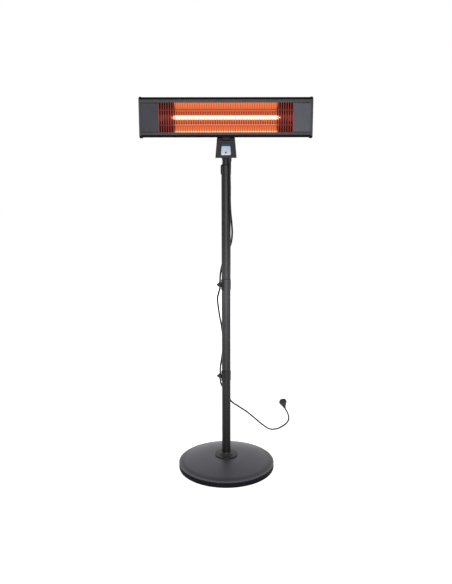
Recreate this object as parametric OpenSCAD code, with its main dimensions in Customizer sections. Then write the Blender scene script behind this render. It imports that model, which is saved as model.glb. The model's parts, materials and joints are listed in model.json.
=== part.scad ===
// Free-standing radiant patio heater: a wide head with one quartz lamp tilts on a
// bracket box at the top of a three-piece pole, over a round weighted base.
// Frame: +Z up, the lamp faces -Y, and the origin is on the floor under the pole.

/* [Base] */
// Outside diameter of the base
base_d = 373; // [340:1:400]
// Height of the rubber rim round the base, above the floor
rim_h = 22; // [14:1:26]
// Width of the rubber rim, measured inwards
rim_w = 8; // [5:0.5:14]
// Height of the steel cover at the pole
dome_h = 50; // [44:1:64]
// Diameter of the flat middle of the cover
dome_flat_d = 92; // [90:1:120]
// How evenly the cover falls to the rim: 1 is a cone, more is rounder
dome_power = 1.9; // [1.2:0.1:3]
// Thickness of the pressed steel cover
cover_t = 1.6; // [1:0.1:2.5]
// Gap between the cover and the cast weight under it
weight_gap = 0.5; // [0.2:0.1:2]
// Diameter of one rubber foot
foot_d = 18; // [12:1:26]
// Height of the weight and the rim above the floor
foot_lift = 1; // [1:0.5:5]
// How deep a foot sits in the weight
foot_seat = 3; // [1:0.5:6]
// Number of rubber feet
foot_count = 6; // [4:1:8]
// Distance from the feet to the edge of the base
foot_inset = 30; // [24:1:60]

/* [Pole flange] */
// Diameter of the flange disc on the cover
flange_d = 89; // [70:1:90]
// Thickness of the flange disc
flange_t = 4; // [3:0.5:8]
// Diameter of the step on the flange
step_d = 58; // [46:1:66]
// Height of the step on the flange
step_h = 4; // [2:0.5:8]
// Wall of the sleeve on the flange
sleeve_wall = 1.2; // [1:0.1:3]
// Height of the sleeve on the flange
sleeve_h = 5; // [3:1:30]
// Shank diameter of the bolt that holds the pole down
base_bolt_d = 10; // [8:1:12]

/* [Pole] */
// Outside diameter of the pole
pole_d = 33.7; // [30:0.1:36]
// Wall of the pole tubes
pole_wall = 1.5; // [1:0.1:2]
// Length of the lower tube
lower_len = 348; // [250:1:500]
// Length of the middle tube
middle_len = 356; // [250:1:500]
// Length of the upper tube
upper_len = 380.5; // [250:0.5:500]
// Height of the groove that shows at each pole joint
joint_gap = 2.5; // [1:0.5:6]
// Depth of that groove
groove_depth = 0.8; // [0.4:0.1:1.2]
// Length of the sleeve inside each pole joint
joint_len = 90; // [50:1:140]
// Wall of the sleeve inside each pole joint
joint_wall = 2; // [1.5:0.5:4]

/* [Cord clips] */
// Height of the saddle that grips the pole
clip_h = 38; // [24:1:50]
// Wall of the saddle
clip_wall = 2; // [1.5:0.1:3]
// Angle of the pole that the saddle wraps
clip_wrap = 230; // [190:5:260]
// Distance from a pole joint down to the middle of the clip under it
clip_drop = 23; // [20:1:60]
// Height of the cord hook
hook_h = 16; // [10:1:30]
// Length of the pointed finger tab
tab_len = 9; // [4:0.5:14]

/* [Collar and neck] */
// Outside diameter of the clamp collar on the pole
collar_d = 36.5; // [34:0.5:38]
// Height of the clamp collar
collar_h = 36; // [26:1:50]
// Width of the slit that lets the collar clamp
collar_slit = 2; // [1:0.5:4]
// Diameter of the rounded lug that holds the clamp screws
lug_d = 12; // [10:0.5:16]
// Outside diameter of the neck tube
neck_d = 27; // [24:0.5:27]
// Wall of the neck tube
neck_wall = 1.5; // [1:0.1:2.5]
// Length of neck tube that shows between collar and box
neck_show = 25.5; // [15:0.5:60]
// Length of neck tube inside the pole
neck_depth = 60; // [30:1:120]
// Height of the flared ferrule under the box
ferrule_h = 7; // [4:0.5:12]
// Width of the flared ferrule at its top
ferrule_d = 40; // [34:1:44]

/* [Bracket box] */
// Width of the box at its top
box_top_w = 64; // [58:1:76]
// Width of the box at its bottom
box_bottom_w = 76; // [64:1:90]
// Distance from the bottom of the box up to the tilt axis
axis_h = 54; // [50:1:70]
// Distance from the pole axis forward to the foot of the box's front face
box_front = 32; // [30:1:40]
// Distance from the pole axis forward to the front face beside the tilt axis
box_front_top = 20; // [18:0.5:21]
// Distance from the pole axis back to the foot of the box's rear face
box_rear = 24; // [20:1:34]
// Distance from the pole axis back to the rear face beside the tilt axis
box_rear_top = 19; // [17:1:30]
// Width of the bevel down each front corner
box_bevel = 8; // [3:0.5:10]
// Wall of the box
box_wall = 2.5; // [1.5:0.1:3]
// Distance from the pole axis back to the seam between the two shells
box_seam = 8; // [4:1:12]

/* [Tilt hinge] */
// How far the head tilts down, in degrees
tilt_max = 45; // [20:1:45]
// Distance from the tilt axis up to the underside of the head
head_clear = 17.5; // [15:0.5:20]
// Gap between the rounded top of the box and the head
top_gap = 0.5; // [0.3:0.1:2]
// Diameter of the hinge bolt
hinge_d = 8; // [6:1:10]
// Clearance on radius round the hinge bolt
hinge_fit = 0.05; // [0.02:0.01:0.1]
// Width of the tongue under the head
tongue_w = 24; // [16:1:26]
// Thickness of the tongue, front to back
tongue_t = 16; // [12:1:18]
// Diameter of the tongue's knuckle
knuckle_d = 23; // [18:1:24]
// Thickness of each friction washer
washer_t = 1.4; // [0.8:0.1:2]
// Thickness of the yoke's steel
yoke_t = 3; // [2:0.5:4]
// Width of the yoke, front to back
yoke_w = 22; // [18:1:24]
// Gap between the tongue and the slot that it swings in
slot_gap = 0.6; // [0.3:0.1:1.5]

/* [Controls] */
// Width of the control plate at its top
plate_top_w = 31; // [24:0.5:36]
// Width of the control plate at its bottom
plate_bottom_w = 35; // [26:0.5:40]
// Height of the control plate
plate_h = 34; // [26:1:34]
// Corner radius of the control plate
plate_r = 5; // [2:0.5:8]
// Thickness of the control plate
plate_t = 1.2; // [0.6:0.1:2]
// Distance from the foot of the front face up to the plate
plate_up = 10; // [8:0.5:14]
// Height of the dark window above the plate
window_strip_h = 5.5; // [3:0.5:8]
// Diameter of the power button
button_d = 5.5; // [4:0.5:10]
// Distance from the bottom of the plate up to the button
button_up = 9; // [6:0.5:16]
// How far the button stands out of the plate
button_proud = 1.9; // [1.6:0.1:3]
// Travel of the button
button_travel = 1.5; // [0.8:0.1:2]
// Clearance on radius round the button
button_gap = 0.1; // [0.05:0.05:0.3]

/* [Head] */
// Width of the head over its end caps
head_w = 610; // [500:1:800]
// Height of the housing
head_h = 136.5; // [130:0.5:160]
// Depth of the housing
head_depth = 76; // [70:1:90]
// Distance from the pole axis forward to the front of the housing
head_front = 44; // [38:1:50]
// Height of the housing's rear face
rear_h = 88; // [70:1:110]
// Distance from the front back to where the top starts to slope down
flat_depth = 55; // [53:1:60]
// Radius of the housing's front edges
edge_r = 7; // [4:0.5:10]
// Wall of the extruded housing
shell_wall = 2; // [1.5:0.1:3]
// Height of the window between the two front lips
window_h = 101.5; // [90:0.5:106]
// Width of the window between the two face panels
window_w = 473; // [380:1:600]
// Thickness of the face panels
panel_t = 2; // [1:0.1:3]
// How far the panels reach behind the front lips
panel_lap = 4; // [2:0.5:8]
// Height of the cooling ribs on the housing
rib_h = 1.5; // [0.8:0.1:1.5]
// Width of one cooling rib
rib_w = 2; // [1:0.1:3]
// Spacing of the cooling ribs
rib_pitch = 7; // [5:0.5:12]
// Diameter of the screw channels inside the housing
port_d = 8; // [7:0.5:10]
// Thickness of the end caps
cap_t = 7.5; // [5:0.5:12]
// How far the end caps stand out round the housing
cap_lip = 3.2; // [1.5:0.1:4]
// Bevel round the outer face of the end caps
cap_bevel = 3; // [1:0.5:4]
// Diameter of the cap screws
cap_screw_d = 3.5; // [3:0.1:4]

/* [Lamp, reflector and grille] */
// Outside diameter of the quartz tube
lamp_d = 14; // [10:0.5:18]
// Wall of the quartz tube
lamp_wall = 1.2; // [0.8:0.1:2]
// Length of the glowing part of the lamp
glow_len = 370; // [300:1:500]
// Length of clear tube beyond each end of the glowing part
lamp_tail = 16; // [10:1:20]
// Distance from the front of the housing back to the lamp
lamp_back = 34; // [28:1:40]
// Diameter of the glowing filament
filament_d = 7; // [3:0.5:8]
// Diameter of the ceramic lamp holders
holder_d = 20; // [18:1:24]
// Length of each ceramic lamp holder
holder_len = 28; // [18:1:32]
// Gap between each end of the reflector and the lamp holder beyond it
reflector_gap = 13; // [4:1:40]
// Thickness of the reflector sheet
reflector_t = 1; // [0.6:0.1:2]
// Distance from the front of the housing back to the reflector's trough
trough_back = 58; // [52:1:62]
// Height of the trough behind the lamp
trough_h = 51; // [40:1:60]
// Height of the step along each side of the trough
trough_step = 4; // [2:0.5:8]
// Diameter of one grille wire
wire_d = 1.8; // [1.2:0.1:2.5]
// Spacing of the grille wires
wire_pitch = 8.4; // [6:0.1:14]
// Height of the cross strips that the wires are welded to
strip_h = 2; // [1.5:0.5:5]
// Thickness of the cross strips
strip_t = 1.2; // [0.8:0.1:2]

/* [Cord] */
// Diameter of the mains cord
cord_d = 6.8; // [6:0.1:8]
// Diameter of the gland's nut
gland_d = 13; // [12:0.5:14]
// Height of the gland nut under the box
gland_drop = 13; // [10:1:20]
// Length of the tapered strain relief under the gland nut
relief_len = 26; // [20:1:40]
// Diameter of the plug's face
plug_d = 37; // [36:0.5:40]
// Length of the plug's body
plug_len = 44; // [36:1:60]
// Diameter of one plug pin
pin_d = 4.8; // [4:0.1:5]
// Length of one plug pin
pin_len = 19; // [15:1:22]
// Spacing of the two plug pins
pin_pitch = 19; // [16:0.5:20]

/* [Hidden] */
$fn = 64;

// Cuts run past the faces that they open by this much
over = 1;
// Clearance on radius between round pieces that seat in each other
seat = 0.05;

// Base, from the floor up
base_r = base_d / 2;
weight_r = base_r - rim_w;
dome_flat_r = dome_flat_d / 2;
cover_edge = 1.2;
washer_d = base_bolt_d + 20;
washer_t_base = 2.5;
washer_top = 16;
bolt_head_t = 6;
plug_h = 26;
plug_bolt_h = plug_h - 4;

// Levels up the stand
pole_r = pole_d / 2;
tube_r = pole_r - pole_wall;
pole_z = dome_h;
joint_1_z = pole_z + lower_len;
middle_z = joint_1_z + joint_gap;
joint_2_z = middle_z + middle_len;
upper_z = joint_2_z + joint_gap;
pole_top = upper_z + upper_len;
bush_flange = 1;
bush_len = neck_depth - 10;
collar_z = pole_top + bush_flange;
box_z = collar_z + collar_h + neck_show - bush_flange;
axis_z = box_z + axis_h;
head_z = axis_z + head_clear;
head_mid = head_z + head_h / 2;
neck_r = neck_d / 2;

// Clamp collar: its lug sits at the front left, with two screws across the slit
lug_turn = 222;
lug_out = collar_d / 2;
clamp_screw_d = 4;
clamp_rows = [0.28, 0.72];

// Hinge: washers and yoke cheeks close in on the tongue
tongue_half = tongue_w / 2;
yoke_in = tongue_half + washer_t + 2 * seat;
yoke_out = yoke_in + yoke_t;
yoke_z = axis_z - knuckle_d / 2 - yoke_t - 14;
hinge_bore_r = hinge_d / 2 + hinge_fit;
hinge_head_t = 3.5;
nut_t = 5;
tongue_screw_x = tongue_w / 4;
tongue_screw_d = 5;
tongue_screw_len = 8;

// Box: its faces lean, and its top is round about the tilt axis
face_lean = atan((box_front - box_front_top) / axis_h);
rear_lean = atan((box_rear - box_rear_top) / axis_h);
box_top_r = head_clear - top_gap;
box_side_lean = atan((box_bottom_w - box_top_w) / 2 / (axis_h + box_top_r));
box_axis_w = box_bottom_w / 2 - axis_h * tan(box_side_lean);
box_reach = 100;
rear_chamfer = 3;
box_screw_d = 3;
screw_head_d = box_screw_d * 1.9;
screw_head_t = 1.6;
boss_d = box_screw_d + 4;
boss_len = 12;
boss_web = 3;
box_screw_at = [for (side = [-1, 1], p = [[box_bottom_w / 2 - 9, 9], [box_top_w / 2 - 5.5, axis_h + 2]])
    [side * p[0], box_z + p[1]]];

// Controls, measured in the plane of the box's front face
button_up_face = plate_up + button_up;
button_r = button_d / 2;
strip_gap = 0.6;
board_back = 9;
board_t = 1.6;
board_w = 28;
board_h = 32;
board_at = [[-11, 14], [11, 14], [-11, 40], [11, 40]];
switch_t = 2.8;
switch_w = 7;
flange_back = 0.1;
flange_thick = 0.9;

// Head cross-section, with u back from its front and v up from its middle
half_h = head_h / 2;
half_rear = rear_h / 2;
half_window = window_h / 2;
slope = atan((half_h - half_rear) / (head_depth - flat_depth));
port_r = port_d / 2;
port_sink = 1;
ports = [[edge_r + port_r + 1, half_h - shell_wall - port_r + port_sink],
    [head_depth - shell_wall - port_r + port_sink, half_rear - shell_wall - port_r]];
housing_len = head_w - 2 * cap_t;
panel_w = (housing_len - window_w) / 2;
rear_wall = head_depth - shell_wall;
cap_sink = 2.5;
cap_screw_len = 14;

// Lamp and what holds it, measured from the middle of the head
lamp_len = glow_len + 2 * lamp_tail;
lamp_tip = 6;
lamp_end = 4;
holder_x = lamp_len / 2 - lamp_tip;
holder_end = holder_x + holder_len;
bracket_t = 1.5;
bracket_foot = 16;
end_t = 1;
reflector_len = 2 * (holder_x - end_t - reflector_gap);
stay_x = reflector_len / 4;
stay_w = 20;
stay_h = 30;
stay_t = 1.5;
block = [48, 11, 18];

// The reflector's cross-section, from the window's edge back to the trough
reflector_half = [[6, half_window - reflector_t], [9, half_window - reflector_t],
    [trough_back - 10, trough_h / 2 + 1], [trough_back - 3, trough_h / 2],
    [trough_back, trough_h / 2 - trough_step]];

// The cord's route, chosen by hand: straight out of the gland, down the front right of the
// pole, behind it to the left, through both clips, behind it again and down to the floor
cord_r = cord_d / 2;
cord_route = [[13.5, -20.5, 1204], [13.5, -20.5, 1175], [13.5, -20.5, 1145], [14.5, -18.5, 1095],
    [14.5, -16.5, 1045], [17, -14, 1000], [21, -8, 960], [22.5, 0, 925], [18.5, 12, 890],
    [8.5, 20.5, 862], [-4, 22.5, 835], [-15.5, 16.5, 803], [-21.5, 8.5, 772], [-23, 0, 745],
    [-23, 0, 722], [-28, -1, 702], [-32.5, -1, 680], [-30, 0, 650], [-25, 5, 612],
    [-18, 13.5, 570], [-13, 18, 525], [-13, 18, 480], [-18, 13.5, 438], [-22.5, 5, 410],
    [-23, 0.6, 388], [-23, 0.6, 362], [-20.5, 11, 340], [-9, 23, 312], [19, 43, 256],
    [51, 98, 211], [85, 148, 168], [119, 193, 122], [148, 240, 78.5], [186, 300, 28.7],
    [224, 350, 7.3], [262, 404, 3.4], [281, 448, 3.4], [288, 498, 3.4], [286, 548, 3.4],
    [278, 608, 5.2]];
cord_steps = 2;
cord_sides = 8;
hook_gap = 0.8;
cord_off = 0.75;
hook_r = cord_r + hook_gap;
cord_x = pole_r + clip_wall + cord_r + cord_off;
clip_front = 243;
gland_at = cord_route[0];
gland_barrel_d = gland_d - 3;
gland_nut_t = 3;
gland_top = 4;
relief_foot_d = cord_d + 2.2;
relief_top_d = gland_d - 2.5;

// The plug lies on its tail and its rim, so its axis rises from the floor
plug_tail_r = cord_r + 2.1;
plug_rim = plug_len - 6;
plug_rise = atan((plug_d / 2 - plug_tail_r) / plug_rim);
plug_at = cord_route[len(cord_route) - 1];
plug_turn = 98;
plug_axis = [cos(plug_rise) * cos(plug_turn), cos(plug_rise) * sin(plug_turn), sin(plug_rise)];

// Vector and list helpers
function flip(points) = [for (p = points) [p[0], -p[1]]];
function reversed(list) = [for (i = [len(list) - 1:-1:0]) list[i]];
function unit(v) = v / norm(v);
function left(v) = [-v[1], v[0]];

// Moves a polyline sideways by t, to its left, with mitred corners
function side_of(p, i) = left(unit(p[i + 1] - p[i]));
function shifted(p, t) = [for (i = [0:len(p) - 1])
    let (a = side_of(p, max(i - 1, 0)), b = side_of(p, min(i, len(p) - 2)))
        p[i] + t * (a + b) / (1 + a * b)];

// A smooth curve through every point of a route, kept clear of the floor
function blend(a, b, c, d, t) = 0.5 * (2 * b + t * (c - a)
    + t * t * (2 * a - 5 * b + 4 * c - d) + t * t * t * (3 * b - a - 3 * c + d));
function above_floor(p) = [p[0], p[1], max(p[2], cord_r)];
function smooth_path(p, steps) = [
    for (i = [0:len(p) - 2], s = [0:steps - 1])
        above_floor(blend(p[max(i - 1, 0)], p[i], p[i + 1], p[min(i + 2, len(p) - 1)], s / steps)),
    p[len(p) - 1]];
function heading(p, i) = i == len(p) - 1 ? plug_axis : unit(p[i + 1] - p[max(i - 1, 0)]);

// Height of the cover's outside at radius r
function dome_z(r) = let (t = max(0, (r - dome_flat_r) / (base_r - dome_flat_r)))
    rim_h + cover_t + (dome_h - rim_h - cover_t) * (1 - pow(t, dome_power));
function radii(from, to, count) = [for (i = [0:count]) from + i * (to - from) / count];

// Distance back to the outside of the box's rear face at height z
function rear_at(z) = box_rear - (z - box_z) * tan(rear_lean);

// The housing's rounded front edge, and its outline drawn inwards by g (outwards where g < 0)
function front_edge(g) = [for (a = [180:-15:90])
    [edge_r + (edge_r - g) * cos(a), half_h - edge_r + (edge_r - g) * sin(a)]];
function upper_outline(g) = concat(front_edge(g),
    [[flat_depth - g * tan(slope / 2), half_h - g],
     [head_depth - g, half_rear - g * tan((90 - slope) / 2)]]);
function housing_outline(g) = concat(upper_outline(g), reversed(flip(upper_outline(g))));

// Evenly spaced cooling ribs along the straight stretch from a to b
function ribs(a, b) = let (span = norm(b - a), d = (b - a) / span,
        count = floor((span - 3 * rib_w) / rib_pitch) + 1,
        first = (span - (count - 1) * rib_pitch - rib_w) / 2)
    [for (i = [0:count - 1], q = [[0, 0], [0, rib_h], [rib_w, rib_h], [rib_w, 0]])
        a + d * (first + i * rib_pitch + q[0]) + left(d) * q[1]];
function ribbed_outline() = let (top = [flat_depth, half_h], rear = [head_depth, half_rear],
        low = [flat_depth, -half_h], rear_low = [head_depth, -half_rear])
    concat(front_edge(0), ribs([edge_r, half_h], top), [top], ribs(top, rear), [rear],
        ribs(rear, rear_low), [rear_low], ribs(rear_low, low), [low],
        reversed(flip(front_edge(0))));

// The box's outline seen from its right, as [forward, up] points, drawn inwards by g
function box_side(g) = let (rise = box_top_r - g, face = tan(face_lean), rear = tan(rear_lean),
        front = box_front_top - g / cos(face_lean), back = box_rear_top - g / cos(rear_lean),
        knee = (rise / cos(tilt_max) - front * tan(tilt_max)) / (1 - face * tan(tilt_max)),
        low = g - axis_h)
    concat([[-back + low * rear, low], [front - low * face, low], [front - knee * face, knee]],
        [for (a = [tilt_max:-tilt_max / 5:0]) rise * [sin(a), cos(a)]],
        [[rear_chamfer - back + rise * rear, rise], [-back + rise * rear, rise - rear_chamfer]]);

// Puts a (u, v) profile into the head's place, extruded by a length about x = 0
module along_head(length) {
    translate([-length / 2, -head_front, head_mid]) rotate([90, 0, 90])
        linear_extrude(length) children();
}

// Puts children into the plane of the box's front face: Z runs up the face and -Y out of it
module on_front_face() {
    translate([0, -box_front, box_z]) rotate([-face_lean, 0, 0]) children();
}

// A prism along Y that is as wide as a list of [x, z] points
module prism_y(points, reach) {
    translate([0, reach, 0]) rotate([90, 0, 0]) linear_extrude(2 * reach) polygon(points);
}

module tube(radius, wall, height) difference() {
    cylinder(r = radius, h = height);
    translate([0, 0, -over]) cylinder(r = radius - wall, h = height + 2 * over);
}

module around_base() {
    for (i = [0:foot_count - 1]) rotate([0, 0, (i + 0.5) * 360 / foot_count])
        translate([base_r - foot_inset, 0, 0]) children();
}

// ---- Base ----

module rubber_feet() color([0.05, 0.05, 0.05])
    around_base() cylinder(d = foot_d, h = foot_lift + foot_seat);

module base_rim() color([0.07, 0.07, 0.075]) {
    edge = 2;
    rotate_extrude($fn = 128) polygon([[weight_r, foot_lift], [base_r - edge, foot_lift],
        [base_r, foot_lift + edge], [base_r, rim_h - edge / 2], [base_r - edge / 2, rim_h],
        [weight_r, rim_h]]);
}

// Cast weight: it carries the middle of the cover and follows its slope with a gap
module base_weight() color([0.45, 0.45, 0.43]) difference() {
    rotate_extrude($fn = 128) polygon(concat(
        [[0, foot_lift], [weight_r - seat, foot_lift]],
        [for (r = reversed(radii(dome_flat_r + weight_gap, weight_r - seat, 8)))
            [r, dome_z(r) - cover_t - weight_gap]],
        [[dome_flat_r - 1, dome_h - cover_t], [0, dome_h - cover_t]]));
    around_base() translate([0, 0, foot_lift - over]) cylinder(d = foot_d, h = foot_seat + over);
    translate([0, 0, -over]) cylinder(d = base_bolt_d + 1, h = dome_h + over);
    translate([0, 0, -over]) cylinder(d = washer_d + 2, h = washer_top + over);
}

module base_cover() color([0.3, 0.3, 0.31]) {
    ring = radii(dome_flat_r, base_r - cover_edge, 16);
    difference() {
        rotate_extrude($fn = 128) polygon(concat(
            [[0, dome_h - cover_t], [0, dome_h]],
            [for (r = ring) [r, dome_z(r)]],
            [[base_r, dome_z(base_r) - cover_edge / 2], [base_r, rim_h]],
            [for (r = reversed(ring)) [r, max(rim_h, dome_z(r) - cover_t)]]));
        translate([0, 0, dome_h - cover_t - over])
            cylinder(d = base_bolt_d + 1, h = cover_t + 2 * over);
    }
}

module base_washer() color([0.7, 0.7, 0.72])
    translate([0, 0, washer_top - washer_t_base])
        tube(washer_d / 2, washer_d / 2 - base_bolt_d / 2 - 2 * seat, washer_t_base);

module base_bolt() color([0.7, 0.7, 0.72]) {
    under = washer_top - washer_t_base;
    translate([0, 0, under - bolt_head_t]) cylinder(d = base_bolt_d * 1.8, h = bolt_head_t, $fn = 6);
    translate([0, 0, under - bolt_head_t])
        cylinder(d = base_bolt_d, h = pole_z + plug_bolt_h - under + bolt_head_t);
}

// Threaded plug welded into the foot of the pole
module pole_plug() color([0.55, 0.55, 0.57])
    translate([0, 0, pole_z]) tube(tube_r - seat, tube_r - base_bolt_d / 2 - 2 * seat, plug_h);

// Two-step flange with a short sleeve round the pole
module pole_flange() color([0.25, 0.25, 0.26]) {
    soft = 1.5;
    bore = pole_r + seat;
    disc_r = flange_d / 2;
    step_r = step_d / 2;
    step_z = dome_h + flange_t;
    top = step_z + step_h;
    rotate_extrude($fn = 96) polygon([[bore, dome_h], [disc_r, dome_h], [disc_r, step_z - soft],
        [disc_r - soft, step_z], [step_r, step_z], [step_r - soft, top - soft],
        [step_r - 2 * soft, top], [bore + 2 * sleeve_wall, top],
        [bore + sleeve_wall, top + sleeve_wall], [bore + sleeve_wall, top + sleeve_h / 2],
        [bore + sleeve_wall / 2, top + sleeve_h],
        [bore, top + sleeve_h]]);
}

// ---- Pole ----

module lower_tube() color([0.27, 0.27, 0.28])
    translate([0, 0, pole_z]) tube(pole_r, pole_wall, lower_len);

module middle_tube() color([0.27, 0.27, 0.28])
    translate([0, 0, middle_z]) tube(pole_r, pole_wall, middle_len);

module upper_tube() color([0.27, 0.27, 0.28])
    translate([0, 0, upper_z]) tube(pole_r, pole_wall, upper_len);

// Sleeve that joins two tubes; its bead keeps their ends apart
module joint_sleeve(z) color([0.12, 0.12, 0.12]) translate([0, 0, z]) difference() {
    union() {
        translate([0, 0, (joint_gap - joint_len) / 2]) cylinder(r = tube_r - seat, h = joint_len);
        cylinder(r = pole_r - groove_depth, h = joint_gap);
    }
    translate([0, 0, -joint_len]) cylinder(r = tube_r - joint_wall, h = 2 * joint_len);
}

module lower_joint_sleeve() joint_sleeve(joint_1_z);

module upper_joint_sleeve() joint_sleeve(joint_2_z);

// Snap clip under a joint: a saddle round the left of the pole, a hook for the cord that opens
// to the back, and a pointed finger tab
module cord_clip(joint_z) color([0.08, 0.08, 0.08]) {
    inner = pole_r + seat;
    outer = inner + clip_wall;
    hook_out = hook_r + clip_wall;
    root = cord_x + hook_r;
    gap = 360 - clip_wrap;
    far = 2 * outer;
    translate([0, 0, joint_z - clip_drop]) difference() {
        union() {
            translate([0, 0, -clip_h / 2]) difference() {
                cylinder(r = outer, h = clip_h);
                translate([0, 0, -over]) linear_extrude(clip_h + 2 * over)
                    polygon(concat([[0, 0]], [for (i = [0:4]) let (a = clip_front + i * gap / 4)
                        far * [cos(a), sin(a)]]));
            }
            translate([-cord_x, 0, -hook_h / 2]) cylinder(r = hook_out, h = hook_h);
            prism_y([[-root, hook_h * 0.45], [-root - clip_wall, hook_h * 0.4],
                [-root - tab_len, 1], [-root - tab_len, -1], [-root - clip_wall, -hook_h * 0.4],
                [-root, -hook_h * 0.45]], hook_out / 2);
        }
        translate([0, 0, -clip_h]) cylinder(r = inner, h = 2 * clip_h);
        translate([-cord_x, 0, -clip_h]) cylinder(r = hook_r, h = 2 * clip_h);
        translate([-cord_x - hook_r * 0.8, 0, -clip_h])
            cube([hook_r * 1.6, hook_out + over, 2 * clip_h]);
    }
}

module lower_cord_clip() cord_clip(joint_1_z);

module upper_cord_clip() cord_clip(joint_2_z);

// ---- Collar and neck ----

module neck_bush() color([0.12, 0.12, 0.12]) difference() {
    union() {
        translate([0, 0, pole_top - bush_len]) cylinder(r = tube_r - seat, h = bush_len);
        translate([0, 0, pole_top]) cylinder(r = pole_r, h = bush_flange);
    }
    translate([0, 0, pole_top - bush_len - over])
        cylinder(r = neck_r + seat, h = bush_len + bush_flange + 2 * over);
}

module at_lug() {
    rotate([0, 0, lug_turn]) translate([lug_out, 0, collar_z]) children();
}

module clamp_collar() color([0.1, 0.1, 0.1]) difference() {
    union() {
        translate([0, 0, collar_z]) cylinder(d = collar_d - 1, h = collar_h);
        translate([0, 0, collar_z + 1]) cylinder(d = collar_d, h = collar_h - 2);
        at_lug() {
            translate([0, 0, lug_d / 2]) cylinder(d = lug_d, h = collar_h - lug_d);
            translate([0, 0, lug_d / 2]) sphere(d = lug_d);
            translate([0, 0, collar_h - lug_d / 2]) sphere(d = lug_d);
        }
    }
    translate([0, 0, collar_z - over]) cylinder(r = neck_r + seat, h = collar_h + 2 * over);
    at_lug() translate([-lug_out, -collar_slit / 2, -over])
        cube([lug_out + lug_d, collar_slit, collar_h + 2 * over]);
    at_lug() for (row = clamp_rows) translate([1, 0, row * collar_h])
        rotate([90, 0, 0]) cylinder(r = clamp_screw_d / 2 + seat, h = 2 * lug_d, center = true);
}

module clamp_screws() color([0.35, 0.35, 0.37])
    at_lug() for (row = clamp_rows) translate([1, 0, row * collar_h])
        rotate([90, 0, 0]) cylinder(d = clamp_screw_d, h = lug_d * 0.7, center = true);

module neck_tube() color([0.14, 0.14, 0.145])
    translate([0, 0, collar_z - neck_depth]) tube(neck_r, neck_wall, yoke_z - collar_z + neck_depth);

// Flared ferrule that covers the hole where the neck enters the box
module neck_ferrule() color([0.1, 0.1, 0.1]) difference() {
    bore = neck_r + seat;
    flare = ferrule_d / 2 - bore - 1;
    translate([0, 0, box_z]) rotate_extrude($fn = 64) polygon(concat(
        [[bore, 0], [ferrule_d / 2, 0]],
        [for (a = [0:15:90]) [bore + 1 + flare * (1 - sin(a)), -ferrule_h * (1 - cos(a))]],
        [[bore, -ferrule_h]]));
    translate([gland_at[0], gland_at[1], box_z - ferrule_h - over])
        cylinder(r = gland_d / 2 + 0.2, h = ferrule_h + 2 * over);
}

// ---- Tilt hinge ----

// Steel yoke on the neck tube that carries the hinge bolt
module yoke() color([0.5, 0.5, 0.52]) difference() {
    union() {
        translate([-yoke_out, -yoke_w / 2, yoke_z]) cube([2 * yoke_out, yoke_w, yoke_t]);
        for (side = [-1, 1]) translate([side * (yoke_in + yoke_t / 2), 0, 0]) {
            translate([-yoke_t / 2, -yoke_w / 2, yoke_z]) cube([yoke_t, yoke_w, axis_z - yoke_z]);
            translate([0, 0, axis_z]) rotate([0, 90, 0])
                cylinder(d = yoke_w, h = yoke_t, center = true);
        }
    }
    translate([-yoke_out - over, 0, axis_z]) rotate([0, 90, 0])
        cylinder(r = hinge_bore_r, h = 2 * (yoke_out + over));
    translate([0, 0, yoke_z - over]) cylinder(r = neck_r / 2, h = yoke_t + 2 * over);
}

module friction_washers() color([0.6, 0.55, 0.4])
    for (x = [-yoke_in + seat, tongue_half + seat]) translate([x, 0, axis_z]) rotate([0, 90, 0])
        tube(yoke_w / 2 - 1, yoke_w / 2 - 1 - hinge_bore_r, washer_t);

module hinge_bolt() color([0.65, 0.65, 0.67]) translate([0, 0, axis_z]) rotate([0, 90, 0]) {
    shank = yoke_out + nut_t + 1;
    translate([0, 0, -shank]) cylinder(d = hinge_d, h = shank + yoke_out);
    translate([0, 0, yoke_out]) cylinder(d = hinge_d * 1.6, h = hinge_head_t);
}

module hinge_nut() color([0.6, 0.6, 0.62])
    translate([-yoke_out - nut_t, 0, axis_z]) rotate([0, 90, 0]) difference() {
        cylinder(d = hinge_d * 1.8, h = nut_t, $fn = 6);
        translate([0, 0, -over]) cylinder(r = hinge_d / 2 + seat, h = nut_t + 2 * over);
    }

// The tongue hangs from the head and turns between the friction washers
module tilt_tongue() color([0.3, 0.3, 0.31]) difference() {
    union() {
        translate([-tongue_half, -tongue_t / 2, axis_z]) cube([tongue_w, tongue_t, head_clear]);
        translate([-tongue_half, 0, axis_z]) rotate([0, 90, 0]) cylinder(d = knuckle_d, h = tongue_w);
    }
    translate([-tongue_half - over, 0, axis_z]) rotate([0, 90, 0])
        cylinder(r = hinge_bore_r, h = tongue_w + 2 * over);
    for (side = [-1, 1]) translate([side * tongue_screw_x, 0, head_z - tongue_screw_len])
        cylinder(r = tongue_screw_d / 2 + seat, h = tongue_screw_len + over);
}

// Screws down through the floor of the housing into the tongue
module tongue_screws() color([0.65, 0.65, 0.67])
    for (side = [-1, 1]) translate([side * tongue_screw_x, 0, head_z]) {
        translate([0, 0, -tongue_screw_len])
            cylinder(d = tongue_screw_d, h = tongue_screw_len + shell_wall);
        translate([0, 0, shell_wall]) cylinder(d = tongue_screw_d * 1.7, h = 3);
    }

// ---- Bracket box ----

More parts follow.
